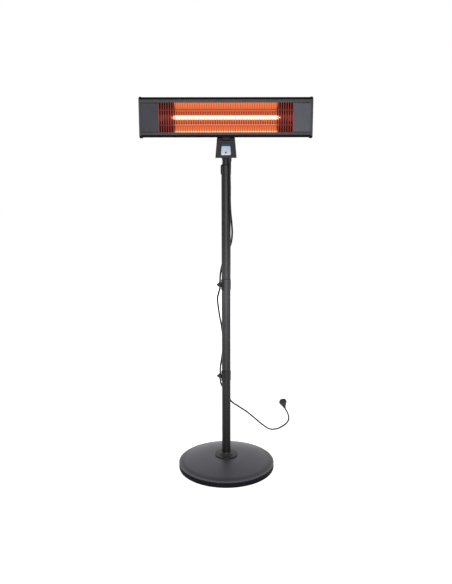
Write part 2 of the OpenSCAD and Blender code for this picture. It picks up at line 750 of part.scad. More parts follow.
// Solid form of the box with each face moved inwards by g
module box_form(g) {
    side_in = g / cos(box_side_lean);
    low_corner = (box_bottom_w / 2 + box_front - box_bevel) / sqrt(2);
    high_corner = (box_axis_w + box_front_top - box_bevel) / sqrt(2);
    corner_lean = atan((low_corner - high_corner) / axis_h);
    ends = [-over, axis_h + box_reach];
    function side_x(z) = box_bottom_w / 2 - side_in - z * tan(box_side_lean);
    function corner_x(z) = low_corner - g / cos(corner_lean) - z * tan(corner_lean);
    intersection() {
        translate([box_reach / 2, 0, axis_z]) rotate([90, 0, -90])
            linear_extrude(box_reach) polygon(box_side(g));
        prism_y([[-side_x(ends[0]), box_z + ends[0]], [side_x(ends[0]), box_z + ends[0]],
            [side_x(ends[1]), box_z + ends[1]], [-side_x(ends[1]), box_z + ends[1]]], box_reach);
        // a bevel down each front corner
        for (side = [-1, 1]) rotate([0, 0, -45 * side])
            prism_y([[side * corner_x(ends[0]), box_z + ends[0]],
                [-side * box_reach, box_z + ends[0]], [-side * box_reach, box_z + ends[1]],
                [side * corner_x(ends[1]), box_z + ends[1]]], box_reach);
    }
}

// Room that the tongue sweeps through the top of the box, from upright to full tilt
module tongue_sweep() {
    half = tongue_t / 2 + slot_gap;
    width = tongue_w + 2 * slot_gap;
    far = 2 * head_clear;
    front_foot = -half * [cos(tilt_max), sin(tilt_max)];
    translate([-width / 2, 0, axis_z]) rotate([90, 0, 90]) linear_extrude(width)
        polygon([front_foot, [half, 0], [half, far], [-far, far],
            front_foot + far * [-sin(tilt_max), cos(tilt_max)]]);
}

// Holes that both shells share: the tongue's slot and the neck
module box_openings() {
    tongue_sweep();
    translate([0, 0, box_z - over]) cylinder(r = neck_r + seat, h = box_wall + 2 * over);
}

module behind_seam() {
    translate([-box_reach, box_seam, box_z - box_reach]) cube(3 * box_reach);
}

module box_front_shell() color([0.24, 0.235, 0.24]) difference() {
    union() {
        difference() {
            box_form(0);
            box_form(box_wall);
            behind_seam();
        }
        intersection() {
            box_form(box_wall / 2);
            union() {
                for (p = box_screw_at) translate([p[0], box_seam - boss_len, p[1]]) {
                    rotate([-90, 0, 0]) cylinder(d = boss_d, h = boss_len);
                    translate([p[0] > 0 ? 0 : -boss_d, 0, -boss_web / 2])
                        cube([boss_d, boss_len, boss_web]);
                }
                on_front_face() for (p = board_at) translate([p[0], box_wall / 2, p[1]])
                    rotate([-90, 0, 0]) cylinder(d = 4, h = board_back - box_wall / 2);
            }
        }
    }
    for (p = box_screw_at) translate([p[0], box_seam - boss_len + 3, p[1]])
        rotate([-90, 0, 0]) cylinder(r = box_screw_d / 2 + seat, h = boss_len);
    box_openings();
    translate([gland_at[0], gland_at[1], box_z - over])
        cylinder(r = gland_barrel_d / 2 + seat, h = box_wall + 2 * over);
    on_front_face() translate([0, -over, button_up_face]) rotate([-90, 0, 0])
        cylinder(r = button_r + button_gap, h = box_wall + 2 * over);
}

module box_rear_shell() color([0.22, 0.22, 0.225]) difference() {
    union() {
        difference() {
            box_form(0);
            box_form(box_wall);
        }
        intersection() {
            box_form(box_wall / 2);
            for (p = box_screw_at) translate([p[0], box_seam, p[1]])
                rotate([-90, 0, 0]) cylinder(d = boss_d, h = box_rear);
        }
    }
    translate([-2 * box_reach, box_seam - 4 * box_reach, box_z - box_reach]) cube(4 * box_reach);
    box_openings();
    for (p = box_screw_at) translate([p[0], 0, p[1]]) rotate([-90, 0, 0]) {
        cylinder(r = box_screw_d / 2 + 2 * seat, h = box_rear + over);
        translate([0, 0, rear_at(p[1]) - screw_head_t])
            cylinder(d = screw_head_d + 0.4, h = 2 * screw_head_t);
    }
}

module box_screws() color([0.3, 0.3, 0.31])
    for (p = box_screw_at) translate([p[0], 0, p[1]]) rotate([-90, 0, 0]) {
        seat_y = rear_at(p[1]) - screw_head_t;
        tip_y = box_seam - boss_len + 4;
        translate([0, 0, tip_y]) cylinder(d = box_screw_d, h = seat_y - tip_y);
        translate([0, 0, seat_y]) cylinder(d = screw_head_d, h = screw_head_t);
    }

// ---- Controls ----

function plate_corner(x, z, from) = [for (a = [from:15:from + 90])
    [x + plate_r * cos(a), z + plate_r * sin(a)]];

module control_plate() color([0.73, 0.8, 0.86]) on_front_face() difference() {
    low = plate_bottom_w / 2 - plate_r;
    high = plate_top_w / 2 - plate_r;
    translate([0, 0, plate_up]) rotate([90, 0, 0]) linear_extrude(plate_t) polygon(concat(
        plate_corner(high, plate_h - plate_r, 0), plate_corner(-high, plate_h - plate_r, 90),
        plate_corner(-low, plate_r, 180), plate_corner(low, plate_r, 270)));
    translate([0, over, button_up_face]) rotate([90, 0, 0])
        cylinder(r = button_r + button_gap, h = plate_t + 2 * over);
}

module status_window() color([0.1, 0.17, 0.27]) on_front_face()
    translate([0, 0, plate_up + plate_h + strip_gap]) rotate([90, 0, 0]) linear_extrude(plate_t / 2)
        polygon([[-plate_top_w / 2, 0], [plate_top_w / 2, 0],
            [plate_top_w / 2 - 1, window_strip_h], [1 - plate_top_w / 2, window_strip_h]]);

// Push button with a flange that keeps it behind the wall
module power_button() color([0.12, 0.14, 0.17]) on_front_face()
    translate([0, 0, button_up_face]) rotate([-90, 0, 0]) {
        front = plate_t + button_proud;
        stem = board_back - switch_t - flange_back - button_travel;
        translate([0, 0, -front]) cylinder(r = button_r, h = front + stem);
        translate([0, 0, box_wall + flange_back]) cylinder(r = button_r + 1.5, h = flange_thick);
    }

module button_switch() color([0.15, 0.15, 0.15]) on_front_face()
    translate([-switch_w / 2, board_back - switch_t, button_up_face - switch_w / 2])
        cube([switch_w, switch_t, switch_w]);

module control_board() color([0.1, 0.3, 0.16]) on_front_face()
    translate([-board_w / 2, board_back, plate_up]) cube([board_w, board_t, board_h]);

module tip_over_switch() color([0.2, 0.2, 0.2])
    translate([-neck_r - 17, -19, box_z + box_wall]) cube([14, 12, 19]);

// ---- Head ----

// Puts children in each screw channel's place, with Z along the head from its left end
module along_channels() {
    for (p = ports, side = [-1, 1])
        translate([-housing_len / 2, p[0] - head_front, head_mid + side * p[1]])
            rotate([0, 90, 0]) children();
}

// One extrusion: ribs on the back, four screw channels, and two lips round the window
module head_housing() color([0.27, 0.27, 0.28]) difference() {
    union() {
        along_head(housing_len) difference() {
            polygon(ribbed_outline());
            polygon(housing_outline(shell_wall));
            translate([-over, -half_window]) square([shell_wall + 2 * over, window_h]);
        }
        along_channels() cylinder(r = port_r, h = housing_len, $fn = 32);
    }
    along_channels() translate([0, 0, -over])
        cylinder(r = cap_screw_d / 2 + seat, h = housing_len + 2 * over, $fn = 32);
    for (side = [-1, 1]) translate([side * tongue_screw_x, 0, head_z - over])
        cylinder(r = tongue_screw_d / 2 + seat, h = shell_wall + 2 * over);
}

// Puts children on one end of the housing, with Z outwards
module at_end(side) {
    mirror([side > 0 ? 0 : 1, 0, 0]) translate([housing_len / 2, -head_front, head_mid])
        rotate([90, 0, 90]) children();
}

module end_cap(side) color([0.13, 0.13, 0.135]) at_end(side) difference() {
    hull() {
        linear_extrude(cap_t - cap_bevel) polygon(housing_outline(-cap_lip));
        linear_extrude(cap_t) polygon(housing_outline(cap_bevel - cap_lip));
    }
    for (p = ports, end = [-1, 1]) translate([p[0], end * p[1], 0]) {
        translate([0, 0, -over]) cylinder(r = cap_screw_d / 2 + 2 * seat, h = cap_t + 2 * over);
        translate([0, 0, cap_t - cap_sink]) cylinder(d = cap_screw_d * 2.1, h = cap_t);
    }
}

module left_end_cap() end_cap(-1);

module right_end_cap() end_cap(1);

module cap_screws() color([0.3, 0.3, 0.31]) for (side = [-1, 1]) at_end(side)
    for (p = ports, end = [-1, 1]) translate([p[0], end * p[1], 0]) {
        translate([0, 0, -cap_screw_len])
            cylinder(d = cap_screw_d, h = cap_screw_len + cap_t - cap_sink);
        translate([0, 0, cap_t - cap_sink]) cylinder(d = cap_screw_d * 1.9, h = cap_sink - 0.5);
    }

module face_panel(side) color([0.29, 0.29, 0.3])
    translate([side * (window_w + panel_w) / 2, 0, 0]) along_head(panel_w)
        translate([shell_wall, -half_window - panel_lap]) square([panel_t, window_h + 2 * panel_lap]);

module left_face_panel() face_panel(-1);

module right_face_panel() face_panel(1);

// Upright wires welded to four cross strips, held behind the lips and between the panels
module wire_grille() color([0.42, 0.36, 0.35]) {
    span = window_w - 2 * seat;
    height = window_h + 2 * panel_lap;
    count = floor((span - wire_d) / wire_pitch);
    for (v = [(height - strip_h) / 2, trough_h / 2], side = [-1, 1])
        translate([0, 0, side * v]) along_head(span)
            translate([shell_wall + wire_d * 0.7, -strip_h / 2]) square([strip_t, strip_h]);
    for (i = [0:count])
        translate([(i - count / 2) * wire_pitch, shell_wall + wire_d / 2 - head_front, head_mid])
            cylinder(d = wire_d, h = height, center = true, $fn = 8);
}

// Bent sheet: a trough behind the lamp, a step along each side, and flanks to the window
function reflector_front() = concat(reflector_half, reversed(flip(reflector_half)));

module reflector() color([0.8, 0.45, 0.25]) along_head(reflector_len)
    polygon(concat(reflector_front(), reversed(shifted(reflector_front(), reflector_t))));

module reflector_ends() color([0.35, 0.2, 0.15]) for (side = [-1, 1])
    translate([side * (reflector_len + end_t) / 2, 0, 0]) along_head(end_t) difference() {
        polygon(shifted(reflector_front(), reflector_t));
        translate([lamp_back, 0]) circle(d = lamp_d + 3);
    }

// Channels between the trough and the rear wall of the housing
module reflector_stays() color([0.5, 0.5, 0.52]) for (side = [-1, 1])
    translate([side * stay_x, 0, 0]) along_head(stay_w) {
        front = trough_back + reflector_t;
        difference() {
            translate([front, -stay_h / 2]) square([rear_wall - front, stay_h]);
            translate([front + stay_t, stay_t - stay_h / 2]) square([rear_wall, stay_h - 2 * stay_t]);
        }
    }

// ---- Lamp ----

module along_lamp() {
    translate([0, lamp_back - head_front, head_mid]) rotate([0, 90, 0]) children();
}

module quartz_tube() color([0.95, 0.85, 0.7, 0.5]) along_lamp() difference() {
    union() {
        translate([0, 0, -lamp_len / 2]) cylinder(d = lamp_d, h = lamp_len);
        translate([0, 0, lamp_len / 2]) cylinder(d1 = lamp_d, d2 = lamp_d / 2, h = lamp_tip);
        translate([0, 0, -lamp_len / 2 - lamp_tip])
            cylinder(d1 = lamp_d / 2, d2 = lamp_d, h = lamp_tip);
    }
    translate([0, 0, lamp_end - lamp_len / 2])
        cylinder(r = lamp_d / 2 - lamp_wall, h = lamp_len - 2 * lamp_end);
}

// Glowing coil and its two leads
module filament() color([1, 0.85, 0.6]) along_lamp() {
    lead = lamp_len - 2 * lamp_end;
    translate([0, 0, -glow_len / 2]) cylinder(d = filament_d, h = glow_len);
    translate([0, 0, -lead / 2]) cylinder(d = 1.2, h = lead);
}

module lamp_holders() color([0.85, 0.83, 0.78]) for (side = [-1, 1])
    mirror([side > 0 ? 0 : 1, 0, 0]) along_lamp() translate([0, 0, holder_x]) difference() {
        cylinder(d = holder_d, h = holder_len);
        translate([0, 0, -over]) cylinder(r = lamp_d / 2 + seat, h = lamp_tip + 2 + over);
        translate([0, 0, -over]) cylinder(d = lamp_d * 0.85, h = 2 * lamp_tip + 2 + over);
    }

// Angle brackets that carry the lamp holders on the rear wall of the housing
module holder_brackets() color([0.55, 0.55, 0.57]) for (side = [-1, 1])
    mirror([side > 0 ? 0 : 1, 0, 0]) translate([holder_end, -head_front, head_mid - holder_d / 2]) {
        front = lamp_back - holder_d / 2;
        translate([0, front, 0]) cube([bracket_t, rear_wall - front, holder_d]);
        translate([0, rear_wall - bracket_t, 0]) cube([bracket_foot, bracket_t, holder_d]);
    }

module terminal_block() color([0.85, 0.83, 0.78])
    translate([-block[0] / 2, rear_wall - block[1] - head_front, head_mid - block[2] / 2]) cube(block);

// ---- Cord ----

module at_gland(z) {
    translate([gland_at[0], gland_at[1], box_z + z]) children();
}

module cord_gland() color([0.07, 0.07, 0.07]) difference() {
    union() {
        at_gland(-gland_drop) cylinder(d = gland_d, h = gland_drop);
        at_gland(-over) cylinder(d = gland_barrel_d, h = over + box_wall + gland_top);
        at_gland(box_wall) cylinder(d = gland_d - 0.5, h = gland_nut_t);
    }
    at_gland(-gland_drop - over) cylinder(r = cord_r + seat, h = gland_drop + box_reach);
}

module strain_relief() color([0.05, 0.05, 0.05]) at_gland(-gland_drop - relief_len) difference() {
    cylinder(d1 = relief_foot_d, d2 = relief_top_d, h = relief_len);
    translate([0, 0, -over]) cylinder(r = cord_r + seat, h = relief_len + 2 * over);
}

// One round tube through every point of the smooth route
module mains_cord() color([0.05, 0.05, 0.05]) {
    path = smooth_path(cord_route, cord_steps);
    n = cord_sides;
    last = len(path) - 1;
    points = [for (i = [0:last])
        let (t = heading(path, i), side = unit(cross(t, [1, -1, 0])), up = cross(t, side))
            for (k = [0:n - 1]) path[i] + cord_r * (side * cos(k * 360 / n) + up * sin(k * 360 / n))];
    polyhedron(points, concat(
        [[for (k = [0:n - 1]) k]],
        [for (i = [0:last - 1], k = [0:n - 1])
            [i * n + k, (i + 1) * n + k, (i + 1) * n + (k + 1) % n, i * n + (k + 1) % n]],
        [[for (k = [n - 1:-1:0]) last * n + k]]), convexity = 10);
}

module at_plug() {
    translate(plug_at) rotate([0, 90 - plug_rise, plug_turn]) children();
}

module plug_body() color([0.05, 0.05, 0.05]) at_plug() difference() {
    rim = plug_d / 2;
    rotate_extrude() polygon([[0, 0], [plug_tail_r, 0], [plug_tail_r + 0.6, plug_rim * 0.4],
        [rim * 0.62, plug_rim * 0.5], [rim * 0.7, plug_rim * 0.75], [rim - 1.5, plug_rim - 2],
        [rim, plug_rim], [rim, plug_len - 1], [rim - 1, plug_len], [0, plug_len]]);
    for (side = [-1, 1]) translate([0, side * pin_pitch / 2, plug_rim])
        cylinder(r = pin_d / 2 + seat, h = plug_len);
}

module plug_pins() color([0.8, 0.78, 0.7]) at_plug()
    for (side = [-1, 1]) translate([0, side * pin_pitch / 2, plug_rim]) {
        shank = plug_len - plug_rim + pin_len - 2;
        cylinder(d = pin_d, h = shank);
        translate([0, 0, shank]) cylinder(d1 = pin_d, d2 = pin_d / 2, h = 2);
    }

rubber_feet();
base_rim();
base_weight();
base_cover();
base_washer();
base_bolt();
pole_plug();
pole_flange();
lower_tube();
lower_joint_sleeve();
middle_tube();
upper_joint_sleeve();
upper_tube();
lower_cord_clip();
upper_cord_clip();
neck_bush();
clamp_collar();
clamp_screws();
neck_tube();
neck_ferrule();
yoke();
friction_washers();
hinge_bolt();
hinge_nut();
box_front_shell();
box_rear_shell();
box_screws();
control_plate();
status_window();
power_button();
button_switch();
control_board();
tip_over_switch();
cord_gland();
strain_relief();
mains_cord();
plug_body();
plug_pins();
tilt_tongue();
tongue_screws();
head_housing();
left_end_cap();
right_end_cap();
cap_screws();
left_face_panel();
right_face_panel();
wire_grille();
reflector();
reflector_ends();
reflector_stays();
quartz_tube();
filament();
lamp_holders();
holder_brackets();
terminal_block();
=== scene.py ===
# %% [markdown]
# # A standing outdoor heater
# The heater is a long aluminium head with one glowing lamp, on a jointed pole over a
# round weighted base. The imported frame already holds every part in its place, so this
# lesson only dresses it: it takes the parts as they stand, rounds their edges, turns a
# few of them again more finely, and gives every one a finish made from nodes.

# %% Load the frame
import json
import math

import bmesh
import bpy
from mathutils import Matrix, Vector

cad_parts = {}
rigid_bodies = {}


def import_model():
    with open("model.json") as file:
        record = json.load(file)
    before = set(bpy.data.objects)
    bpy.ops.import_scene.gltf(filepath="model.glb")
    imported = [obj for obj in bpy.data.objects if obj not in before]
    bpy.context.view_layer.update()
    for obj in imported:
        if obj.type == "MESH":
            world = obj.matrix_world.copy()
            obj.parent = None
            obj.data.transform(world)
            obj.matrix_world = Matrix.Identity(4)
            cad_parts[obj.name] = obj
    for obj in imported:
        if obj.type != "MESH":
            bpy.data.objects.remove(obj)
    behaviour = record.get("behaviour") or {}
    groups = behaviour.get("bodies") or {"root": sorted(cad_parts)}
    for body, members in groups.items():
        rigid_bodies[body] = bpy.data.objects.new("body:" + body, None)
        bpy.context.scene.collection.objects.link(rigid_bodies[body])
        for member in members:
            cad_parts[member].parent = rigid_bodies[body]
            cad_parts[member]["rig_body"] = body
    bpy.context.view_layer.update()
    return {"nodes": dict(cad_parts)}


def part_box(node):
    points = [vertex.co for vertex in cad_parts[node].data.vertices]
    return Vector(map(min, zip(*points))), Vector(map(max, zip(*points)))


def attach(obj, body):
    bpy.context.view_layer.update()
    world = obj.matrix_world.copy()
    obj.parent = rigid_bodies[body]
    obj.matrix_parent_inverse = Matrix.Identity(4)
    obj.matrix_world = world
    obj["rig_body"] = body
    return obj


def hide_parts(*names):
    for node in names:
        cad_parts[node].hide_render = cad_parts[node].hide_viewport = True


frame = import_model()
nodes = frame["nodes"]
scene = bpy.context.scene

# %% [markdown]
# ## Camera
# The camera stands in front at head height and looks a little down, so the head is
# seen level and the base from above. A 45 mm lens from 2.7 m keeps the pole upright.

# %% Place the camera
camera_data = bpy.data.cameras.new("camera")
camera_data.lens = 45.0
camera_data.sensor_width = 36.0
camera_data.clip_end = 60.0
camera = bpy.data.objects.new("camera", camera_data)
camera.location = (0.0, -2.6708, 1.3015)
turn, tip, roll = (math.radians(a) for a in (0.012, 77.416, -0.08))
camera.rotation_euler = (Matrix.Rotation(turn, 3, "Z") @ Matrix.Rotation(tip, 3, "X")
                         @ Matrix.Rotation(roll, 3, "Z")).to_euler()
scene.collection.objects.link(camera)
scene.camera = camera
print("camera looks down by", round(90 - math.degrees(tip), 2), "degrees")

# %% [markdown]
# ## Helpers for finishes
# Real surfaces are never one flat colour. Each finish starts from the colour that the
# eye reads, then varies it a little with broad noise and adds a fine grain as a bump.
# All patterns read Object coordinates, so they sit still on the part in every view.
# Nodes are long to set up by hand, so a few small functions add and join them.


# %% Add and join nodes
def tint(code):
    """A web colour code as the linear colour that a shader wants."""
    parts = [int(code[i : i + 2], 16) / 255 for i in (0, 2, 4)]
    return [c / 12.92 if c <= 0.04045 else ((c + 0.055) / 1.055) ** 2.4 for c in parts] + [1.0]


def add_node(tree, kind, settings=(), **inputs):
    """A new node with its settings and unlinked inputs filled in."""
    made = tree.nodes.new(kind)
    for key, value in dict(settings).items():
        setattr(made, key, value)
    for key, value in inputs.items():
        made.inputs[key.replace("_", " ")].default_value = value
    return made


def join(tree, source, target, out=0, into=0):
    """Links one node's output to another's input."""
    tree.links.new(source.outputs[out], target.inputs[into])
    return target


def blank_finish(name):
    """A material with a principled shader, and a node that gives the place on the object."""
    made = bpy.data.materials.new(name)
    made.use_nodes = True
    tree = made.node_tree
    return made, tree, tree.nodes["Principled BSDF"], add_node(tree, "ShaderNodeTexCoord")


print("a web grey 808080 is", round(tint("808080")[0], 3), "in linear light")


# %% Make noise and ramps
def noise_at(tree, place, scale, detail=3.0, stretch=None):
    """Noise read at Object coordinates, stretched along an axis where a finish is brushed."""
    made = add_node(tree, "ShaderNodeTexNoise", Scale=scale, Detail=detail)
    if stretch is None:
        join(tree, place, made, "Object", "Vector")
    else:
        mapping = add_node(tree, "ShaderNodeMapping", Scale=stretch)
        join(tree, place, mapping, "Object", "Vector")
        join(tree, mapping, made, "Vector", "Vector")
    return made


def ramp_between(tree, source, stops, out=0):
    """A colour ramp with the given (position, colour) stops."""
    made = add_node(tree, "ShaderNodeValToRGB")
    elements = made.color_ramp.elements
    while len(elements) < len(stops):
        elements.new(0.5)
    for element, (position, colour) in zip(elements, stops):
        element.position = position
        element.color = colour
    return join(tree, source, made, out, "Fac")


def spread(tree, source, low, high, out=0, span=(0.3, 0.7)):
    """Maps a span of the source, unless told otherwise a noise's middle, onto low to high."""
    made = add_node(tree, "ShaderNodeMapRange")
    for key, value in zip(("From Min", "From Max", "To Min", "To Max"), (*span, low, high)):
        made.inputs[key].default_value = value
    return join(tree, source, made, out, "Value")


def mottled(tree, noise, low, high, span=(0.3, 0.7)):
    """A noise whose middle span runs from one colour to another."""
    return ramp_between(tree, noise, list(zip(span, (low, high))))


print("noise and ramps are ready")


# %% Make a finish
def shaded(colour, factor):
    """The same colour, made darker or paler by a factor."""
    return [min(1.0, c * factor) for c in colour[:3]] + [1.0]


def fine_grain(tree, shader, fine, rough, strength, depth):
    """One fine noise, used as a slight change of roughness and as a bump."""
    join(tree, spread(tree, fine, rough - 0.05, rough + 0.05), shader, 0, "Roughness")
    bump = add_node(tree, "ShaderNodeBump", Strength=strength, Distance=depth)
    join(tree, fine, bump, "Fac", "Height")
    join(tree, bump, shader, "Normal", "Normal")


def finish(name, colour, rough, metal=0.0, vary=0.08, broad=14.0, grain=900.0, depth=0.00006,
           stretch=None, specular=0.5):
    """A finish with broad colour variation and a fine grain."""
    made, tree, shader, place = blank_finish(name)
    cloud = noise_at(tree, place, broad, 4.0)
    colours = mottled(tree, cloud, shaded(colour, 1 - vary), shaded(colour, 1 + vary))
    join(tree, colours, shader, "Color", "Base Color")
    fine = noise_at(tree, place, grain, 2.0, stretch)
    fine_grain(tree, shader, fine, rough, strength=0.6, depth=depth)
    shader.inputs["Metallic"].default_value = metal
    shader.inputs["Specular IOR Level"].default_value = specular
    return made


print("finishes can be mixed")

# %% [markdown]
# ## The mains lead
# A rubber lead is a fixed length of something springy. It leaves the gland under the
# box, winds once round the pole through two clips, and runs down to the floor. A mesh
# tube could follow that path, but a curve with a round section keeps the path easy to
# change. Its handles follow the neighbouring points, so it bends evenly everywhere.

# %% Draw the lead
lead_rubber = finish("lead_rubber", tint("1e1e20"), 0.55, vary=0.12, broad=40.0, grain=1400.0,
                     specular=0.15)
lead_d = 0.0068
# Places along the lead in millimetres, from the gland down to the plug
lead_route = [
    (13.5, -20.5, 1204), (13.5, -20.5, 1175), (13.5, -20.5, 1145), (14.5, -18.5, 1095),
    (14.5, -16.5, 1045), (17, -14, 1000), (21, -8, 960), (22.5, 0, 925), (18.5, 12, 890),
    (8.5, 20.5, 862), (-4, 22.5, 835), (-15.5, 16.5, 803), (-21.5, 8.5, 772), (-23, 0, 745),
    (-23, 0, 722), (-28, -1, 702), (-32.5, -1, 680), (-30, 0, 650), (-25, 5, 612),
    (-18, 13.5, 570), (-13, 18, 525), (-13, 18, 480), (-18, 13.5, 438), (-22.5, 5, 410),
    (-23, 0.6, 388), (-23, 0.6, 362), (-20.5, 11, 340), (-9, 23, 312), (19, 43, 256),
    (51, 98, 211), (85, 148, 168), (119, 193, 122), (148, 240, 78.5), (186, 300, 28.7),
    (224, 350, 7.3), (262, 404, 3.4), (281, 448, 3.4), (288, 498, 3.4), (286, 548, 3.4),
    (278, 608, 5.2),
]
route = [Vector(p) / 1000 for p in lead_route]
lead_curve = bpy.data.curves.new("mains_lead", "CURVE")
lead_curve.dimensions = "3D"
lead_curve.bevel_depth = lead_d / 2
lead_curve.bevel_resolution = 4
lead_curve.use_fill_caps = True
spline = lead_curve.splines.new("BEZIER")
spline.resolution_u = 8
spline.bezier_points.add(len(route) - 1)
for i, (point, here) in enumerate(zip(spline.bezier_points, route)):
    after, before = route[min(i + 1, len(route) - 1)], route[max(i - 1, 0)]
    reach = (after - before) / 6
    point.co = here
    point.handle_left_type = point.handle_right_type = "FREE"
    point.handle_left, point.handle_right = here - reach, here + reach
    for handle in (point.handle_left, point.handle_right):
        handle.z = max(handle.z, lead_d / 2)
mains_lead = bpy.data.objects.new("mains_lead", lead_curve)
scene.collection.objects.link(mains_lead)
mains_lead.data.materials.append(lead_rubber)
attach(mains_lead, "stand")
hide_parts("mains_cord")
print("lead:", len(route), "points")

# %% [markdown]
# ## Round pieces
# A cylinder could be scaled and cut to shape, but a turned part is easier to draw: its
# profile is a chain of edges, and a spin about the axis gives the whole skin at once.
# Moulded and pressed parts have no sharp corners, so the profile's corners are cut by
# small arcs first. Every piece is then put on a body of the frame, which it moves with.


# %% Make a piece and turn a profile
def piece_from(bm, name, body, material, stands_for=(), sharp=35.0):
    """A finished object from a bmesh, riding on a body of the frame."""
    for face in bm.faces:
        face.smooth = True
    for edge in bm.edges:
        edge.smooth = not (edge.is_manifold and edge.calc_face_angle(0.0) > math.radians(sharp))
    mesh = bpy.data.meshes.new(name)
    bm.to_mesh(mesh)
    bm.free()
    made = bpy.data.objects.new(name, mesh)
    scene.collection.objects.link(made)
    made.data.materials.append(material)
    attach(made, body)
    if stands_for:
        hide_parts(*stands_for)
    return made


def turned(profile, steps=96):
    """A closed ring or solid of (radius, height) points, spun about the pole's axis."""
    bm = bmesh.new()
    chain = [bm.verts.new((r, 0.0, z)) for r, z in profile]
    edges = [bm.edges.new(pair) for pair in zip(chain, chain[1:] + chain[:1])]
    bmesh.ops.spin(bm, geom=chain + edges, cent=(0, 0, 0), axis=(0, 0, 1), angle=math.tau,
                   steps=steps, use_merge=True)
    bmesh.ops.remove_doubles(bm, verts=bm.verts, dist=1e-6)
    bmesh.ops.delete(bm, geom=[e for e in bm.edges if not e.link_faces], context="EDGES")
    bmesh.ops.recalc_face_normals(bm, faces=bm.faces)
    return bm


def rounded(profile, radius, steps=4):
    """The same closed profile, with each clear corner cut by an arc of less than half a side."""
    made = []
    count = len(profile)
    for i, corner in enumerate(profile):
        here = Vector(corner)
        before, after = Vector(profile[i - 1]) - here, Vector(profile[(i + 1) % count]) - here
        reach = min(radius, before.length / 2.2, after.length / 2.2)
        if min(here.x, reach) < 1e-5 or before.angle(after) > math.radians(165):
            made.append(tuple(here))
            continue
        start, end = here + before.normalized() * reach, here + after.normalized() * reach
        for k in range(steps + 1):
            t = k / steps
            made.append(tuple(start * (1 - t) ** 2 + here * 2 * t * (1 - t) + end * t**2))
    return made


print("round pieces can be turned")

# %% [markdown]
# ## Strain relief and plug
# Where a lead leaves a housing, a soft tapered sleeve keeps it from kinking. Its rings
# let it flex, so its profile steps in and out. The moulded plug widens from its tail to
# a flat face, and it lies on the floor on its tail and its rim. Both are round, so a
# profile turned about an axis makes each in one go, and a turn of the whole mesh then
# lays the plug down.

# %% Turn the strain relief
gland_x, gland_y = lead_route[0][0] / 1000, lead_route[0][1] / 1000
relief_low, relief_high = (c.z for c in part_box("strain_relief"))
relief_r = (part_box("strain_relief")[1].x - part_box("strain_relief")[0].x) / 2
rings, tail_wall, groove_depth = 7, 0.0011, 0.0007
# Where a ring's outline turns, as a share of the ring's height, and how deep it is there
ring_shape = ((0.0, 0.0), (0.6, 0.0), (0.7, groove_depth), (0.95, groove_depth))
relief_profile = [(lead_d / 2, relief_low)]
for i in range(rings):
    for share, depth in ring_shape:
        rise = (i + share) / rings
        radius = (lead_d / 2 + tail_wall) * (1 - rise) + relief_r * rise
        height = relief_low + rise * (relief_high - relief_low)
        relief_profile.append((radius - depth, height))
relief_profile += [(relief_r, relief_high), (lead_d / 2, relief_high)]
relief_bm = turned(relief_profile, 48)
bmesh.ops.translate(relief_bm, verts=relief_bm.verts, vec=(gland_x, gland_y, 0))
relief = piece_from(relief_bm, "ringed_strain_relief", "stand", lead_rubber,
                    ["strain_relief"], 40)
print("strain relief:", rings, "rings over", round(relief_high - relief_low, 4), "m")


# %% Turn the plug and lay it on the floor
def plug_groove(foot, lip, floor, far_lip):
    """Four points of the plug's outline that dip in and come out again over 1.6 mm."""
    return [(lip, foot), (floor, foot + 0.0004), (floor, foot + 0.0012), (far_lip, foot + 0.0016)]


plug_rubber = finish("plug_rubber", tint("242426"), 0.5, vary=0.08, broad=60.0, grain=1600.0,
                     depth=0.00008, specular=0.35)
pin_metal = finish("pin_metal", tint("d9cfa4"), 0.25, metal=1.0, broad=200.0, grain=700.0,
                   stretch=(1, 8, 1), depth=0.00002)
plug_r, plug_len, plug_tail = 0.0185, 0.044, lead_d / 2 + 0.0021
plug_rim = plug_len - 0.006
waist_share, waist, shoulder = 0.62, 0.019, 0.0285
plug_profile = [(0.0, 0.0), (plug_tail, 0.0)]
for i in range(4):
    plug_profile += plug_groove(0.002 + i * 0.0033, plug_tail + 0.0003, plug_tail - 0.0004,
                                plug_tail + 0.0003)
plug_profile += [(plug_tail + 0.0006, 0.0152), (waist_share * plug_r, waist)]
for i in range(3):
    foot = waist + 0.0012 + i * 0.0027
    swell = 0.08 * (foot - waist) / (shoulder - waist)
    lip = plug_r * (waist_share + swell)
    plug_profile += plug_groove(foot, lip, lip - 0.0006, lip + 0.0002)
plug_profile += [(0.7 * plug_r, shoulder), (plug_r - 0.0015, 0.036), (plug_r, plug_rim),
                 (plug_r, plug_len - 0.001), (plug_r - 0.001, plug_len), (0.0, plug_len)]
plug_bm = turned(rounded(plug_profile, 0.0002, 2), 64)
plug_rise = math.atan((plug_r - plug_tail) / plug_rim)
plug_turn = math.radians(98)
lay_down = (Matrix.Translation(route[-1]) @ Matrix.Rotation(plug_turn, 4, "Z")
            @ Matrix.Rotation(math.pi / 2 - plug_rise, 4, "Y"))
bmesh.ops.transform(plug_bm, matrix=lay_down, verts=plug_bm.verts)
plug = piece_from(plug_bm, "moulded_plug", "stand", plug_rubber, ["plug_body"], 45)
nodes["plug_pins"].data.materials.clear()
nodes["plug_pins"].data.materials.append(pin_metal)
print("plug lies at", [round(v, 3) for v in route[-1]])

# %% Print the lead's size
print("lead declared: 1.716 m of", lead_d * 1000, "mm")

# %% [markdown]
# ## Paints, plastics and metals
# The head, pole and base are powder coated: a dull dark grey with a fine even grain.
# The caps, collar and clips are moulded in a blacker plastic with a finer grain. They
# differ only in tone, roughness and grain, so one helper with a few numbers makes all.

